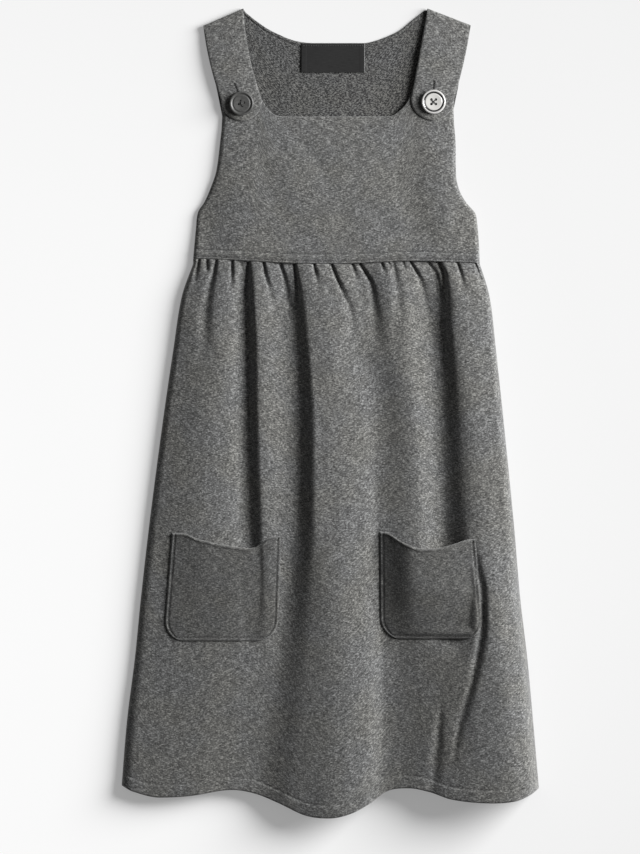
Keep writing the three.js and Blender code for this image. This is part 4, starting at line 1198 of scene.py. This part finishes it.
def pearl_button_finish(button):
    material, tree, shader = new_material("moulded polyester, pearl white", {
        "Roughness": 0.22, "IOR": 1.52, "Coat Weight": 0.4, "Coat Roughness": 0.08})
    here = add_node(tree, "ShaderNodeTexCoord").outputs["Object"]
    middle = add_node(tree, "ShaderNodeMapping", {
        "Location": (-button["x"] * MM, -button["y"] * MM, 0), "Scale": (1, 1, 0)}, {"Vector": here})
    radius = add_node(tree, "ShaderNodeVectorMath", {"operation": "LENGTH"},
                      {0: middle.outputs["Vector"]}).outputs["Value"]
    part = maths(tree, "DIVIDE", radius, BUTTON_RADIUS * MM)
    rings = colour_ramp(tree, part, [
        (0.69, "#a8a7a4"), (0.71, "#242424"), (0.83, "#2c2c2c"), (0.86, "#a8a7a5"), (1.0, "#9d9c9a")])
    tree.links.new(rings, shader.inputs["Base Color"])
    return material


def satin_finish():
    material, tree, shader = new_material("woven satin ribbon", {
        "Roughness": 0.42, "IOR": 1.5, "Sheen Weight": 0.15, "Sheen Roughness": 0.4})
    uv = add_node(tree, "ShaderNodeUVMap", {"uv_map": "cloth"}).outputs["UV"]
    floats = flat_noise(tree, uv, (160, 1800))
    black = colour_ramp(tree, floats, [(0.3, "#0d0d0d"), (0.7, "#171717")])
    tree.links.new(black, shader.inputs["Base Color"])
    relief = add_node(tree, "ShaderNodeBump", {"Strength": 0.3, "Distance": 0.0002}, {"Height": floats})
    tree.links.new(relief.outputs["Normal"], shader.inputs["Normal"])
    return material


def thread_finish(name, dark, light):
    material, tree, shader = new_material(name, {"Roughness": 0.7, "Sheen Weight": 0.2})
    here = add_node(tree, "ShaderNodeTexCoord").outputs["Object"]
    twist = add_node(tree, "ShaderNodeTexNoise", {"Scale": 1500, "Detail": 1}, {"Vector": here}).outputs[0]
    tree.links.new(colour_ramp(tree, twist, [(0.35, dark), (0.65, light)]), shader.inputs["Base Color"])
    return material


grey_button = grey_button_finish()
pearl_button = pearl_button_finish(BUTTONS["right"])
satin = satin_finish()
grey_thread = thread_finish("polyester thread, grey", "#1d1d1c", "#353534")
# Partly its own dark grey and partly painted shade of the stitch grooves; used on the waist and neck.
dark_thread_and_groove_shade = thread_finish("polyester thread, dark grey and painted groove shade", "#0d0d0d", "#1d1d1c")
black_thread = thread_finish("polyester thread, black", "#0a0a0a", "#151515")
print("Made the finishes of the trims")

# %% [markdown]
# ## Finish and place in the frame
#
# Each piece gets its material, rides on the one rigid body, and stands for the CAD solid that it
# replaces.

# %% Dress the pieces
def dress(piece, finish, node=None, inside=None):
    """Give a piece its finish and place. A second finish goes on the inner face of the cloth."""
    piece.data.materials.clear()
    piece.data.materials.append(finish)
    if inside:
        piece.data.materials.append(inside)
        piece.modifiers[0].material_offset = 1
    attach(piece, "root")
    if node:
        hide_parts(node)


dress(skirt_front, jersey, "skirt_front", jersey_inside)
dress(skirt_back, jersey_inside, "skirt_back")
dress(bodice_front, jersey, "bodice_front", jersey_inside)
dress(bodice_back, jersey_inside, "bodice_back")
dress(label, satin, "neck_label")
dress(buttons["left"], grey_button, "button_left")
dress(buttons["right"], pearl_button, "button_right")
for side in STRAPS:
    dress(straps[side], jersey, f"strap_{side}")
    dress(pockets[side], jersey_pockets, f"pocket_{side}", jersey_inside)
for thread, finish in [
        (hem_stitches, grey_thread), (waist_stitches, dark_thread_and_groove_shade), (neck_stitches, dark_thread_and_groove_shade),
        *[(pocket_stitches[side], grey_thread) for side in POCKETS],
        *[(buttonhole_threads[side], grey_thread) for side in STRAPS],
        (button_threads["left"], grey_thread)]:
    dress(thread, finish)
# Black: the label stitches and the right button's thread, with the painted shade in the button holes and in
# the buttonhole slits.
for thread in [label_stitches, button_threads["right"], *hole_threads_and_painted_shade.values(), *buttonhole_slit_shades.values()]:
    dress(thread, black_thread)

# %% [markdown]
# ## Table, light and camera
#
# The picture was taken straight down on to a white table, from far enough away that nothing is
# foreshortened. One large soft light stands low on the upper right, which draws the folds and
# gives the soft shadow on the left. An even white surrounding fills the shadows.

# %% Light
KEY_DIRECTION = Vector((0.80, 0.30, 0.43)).normalized()
KEY_DISTANCE = 2.1
FILL = 0.15
LAMP_SIZE = 1.4
LAMP_ENERGY = 152
world = bpy.data.worlds.new("even white surrounding")
world.use_nodes = True
world.node_tree.nodes["Background"].inputs["Color"].default_value = (1, 1, 1, 1)
world.node_tree.nodes["Background"].inputs["Strength"].default_value = FILL
bpy.context.scene.world = world
lamp = bpy.data.lights.new("large soft light", "AREA")
lamp.shape = "DISK"
lamp.size = LAMP_SIZE
lamp.energy = LAMP_ENERGY
key = bpy.data.objects.new("large soft light", lamp)
key.location = KEY_DIRECTION * KEY_DISTANCE
key.rotation_euler = KEY_DIRECTION.to_track_quat("Z", "Y").to_euler()
bpy.context.scene.collection.objects.link(key)
print("Light elevation in degrees:", round(math.degrees(math.asin(KEY_DIRECTION.z)), 1))

# %% [markdown]
# The lamp stands close, so the light fades from the upper right to the lower left by more than
# half, and the dress shows it. The backdrop doesn't: it is graded paper, greyer near the lamp and
# whiter away from it, so that it looks the same white all over. Its grades are worked out from
# the lamp's own fading. The paper also glows a little by itself, so the shadow on it stays pale.

# %% The graded white table
WHITE = 1.0
GLOW = 0.27
TABLE_REACH = 1.0
TABLE_SIZE = 2.5
TABLE_DROP = 0.1
GRADES = 8
WHITEST = 0.97
away = Vector((KEY_DIRECTION.x, KEY_DIRECTION.y, 0)).normalized()


def light_on_table(along_lamp):
    """Light that the table sends back if it were perfectly white, at a place towards the lamp."""
    to_lamp = KEY_DIRECTION * KEY_DISTANCE - away * along_lamp
    facing = to_lamp.normalized()
    intensity = LAMP_ENERGY / math.pi * facing.dot(KEY_DIRECTION)
    return intensity * facing.z / to_lamp.length_squared / math.pi + FILL


table_top = bmesh.new()
bmesh.ops.create_grid(table_top, x_segments=1, y_segments=1, size=TABLE_SIZE)
table = new_piece("white_table", table_top)
table.data.transform(Matrix.Translation((0, 0, -TABLE_DROP * MM)))
paper, paper_tree, paper_shader = new_material("graded backdrop paper", {
    "Roughness": 0.9, "Specular IOR Level": 0.1,
    "Emission Color": (1, 1, 1, 1), "Emission Strength": GLOW})
table_here = add_node(paper_tree, "ShaderNodeTexCoord").outputs["Object"]
towards = add_node(paper_tree, "ShaderNodeVectorMath", {"operation": "DOT_PRODUCT", 1: away},
                   {0: table_here}).outputs["Value"]
grade = add_node(paper_tree, "ShaderNodeMapRange", {
    "From Min": -TABLE_REACH, "From Max": TABLE_REACH}, {"Value": towards}).outputs[0]
grades = []
for k in range(GRADES + 1):
    level = min(WHITEST, (WHITE - GLOW) / light_on_table(TABLE_REACH * (2 * k / GRADES - 1)))
    grades.append((k / GRADES, (level, level, level, 1)))
paper_tree.links.new(colour_ramp(paper_tree, grade, grades), paper_shader.inputs["Base Color"])
table.data.materials.append(paper)
print("Grades of the paper:", [round(colour[0], 2) for _, colour in grades])

# %% Camera
CAMERA_DISTANCE = 6.0
SENSOR = 36
PICTURE_HEIGHT = 0.7925
PICTURE_MIDDLE = (-0.0093, -0.0133)
lens = bpy.data.cameras.new("camera above the table")
lens.sensor_width = SENSOR
lens.lens = SENSOR * CAMERA_DISTANCE / PICTURE_HEIGHT
lens.clip_end = 3 * CAMERA_DISTANCE
camera = bpy.data.objects.new("camera above the table", lens)
camera.location = (*PICTURE_MIDDLE, CAMERA_DISTANCE)
bpy.context.scene.collection.objects.link(camera)
bpy.context.scene.camera = camera
bpy.context.scene.view_settings.view_transform = "Standard"
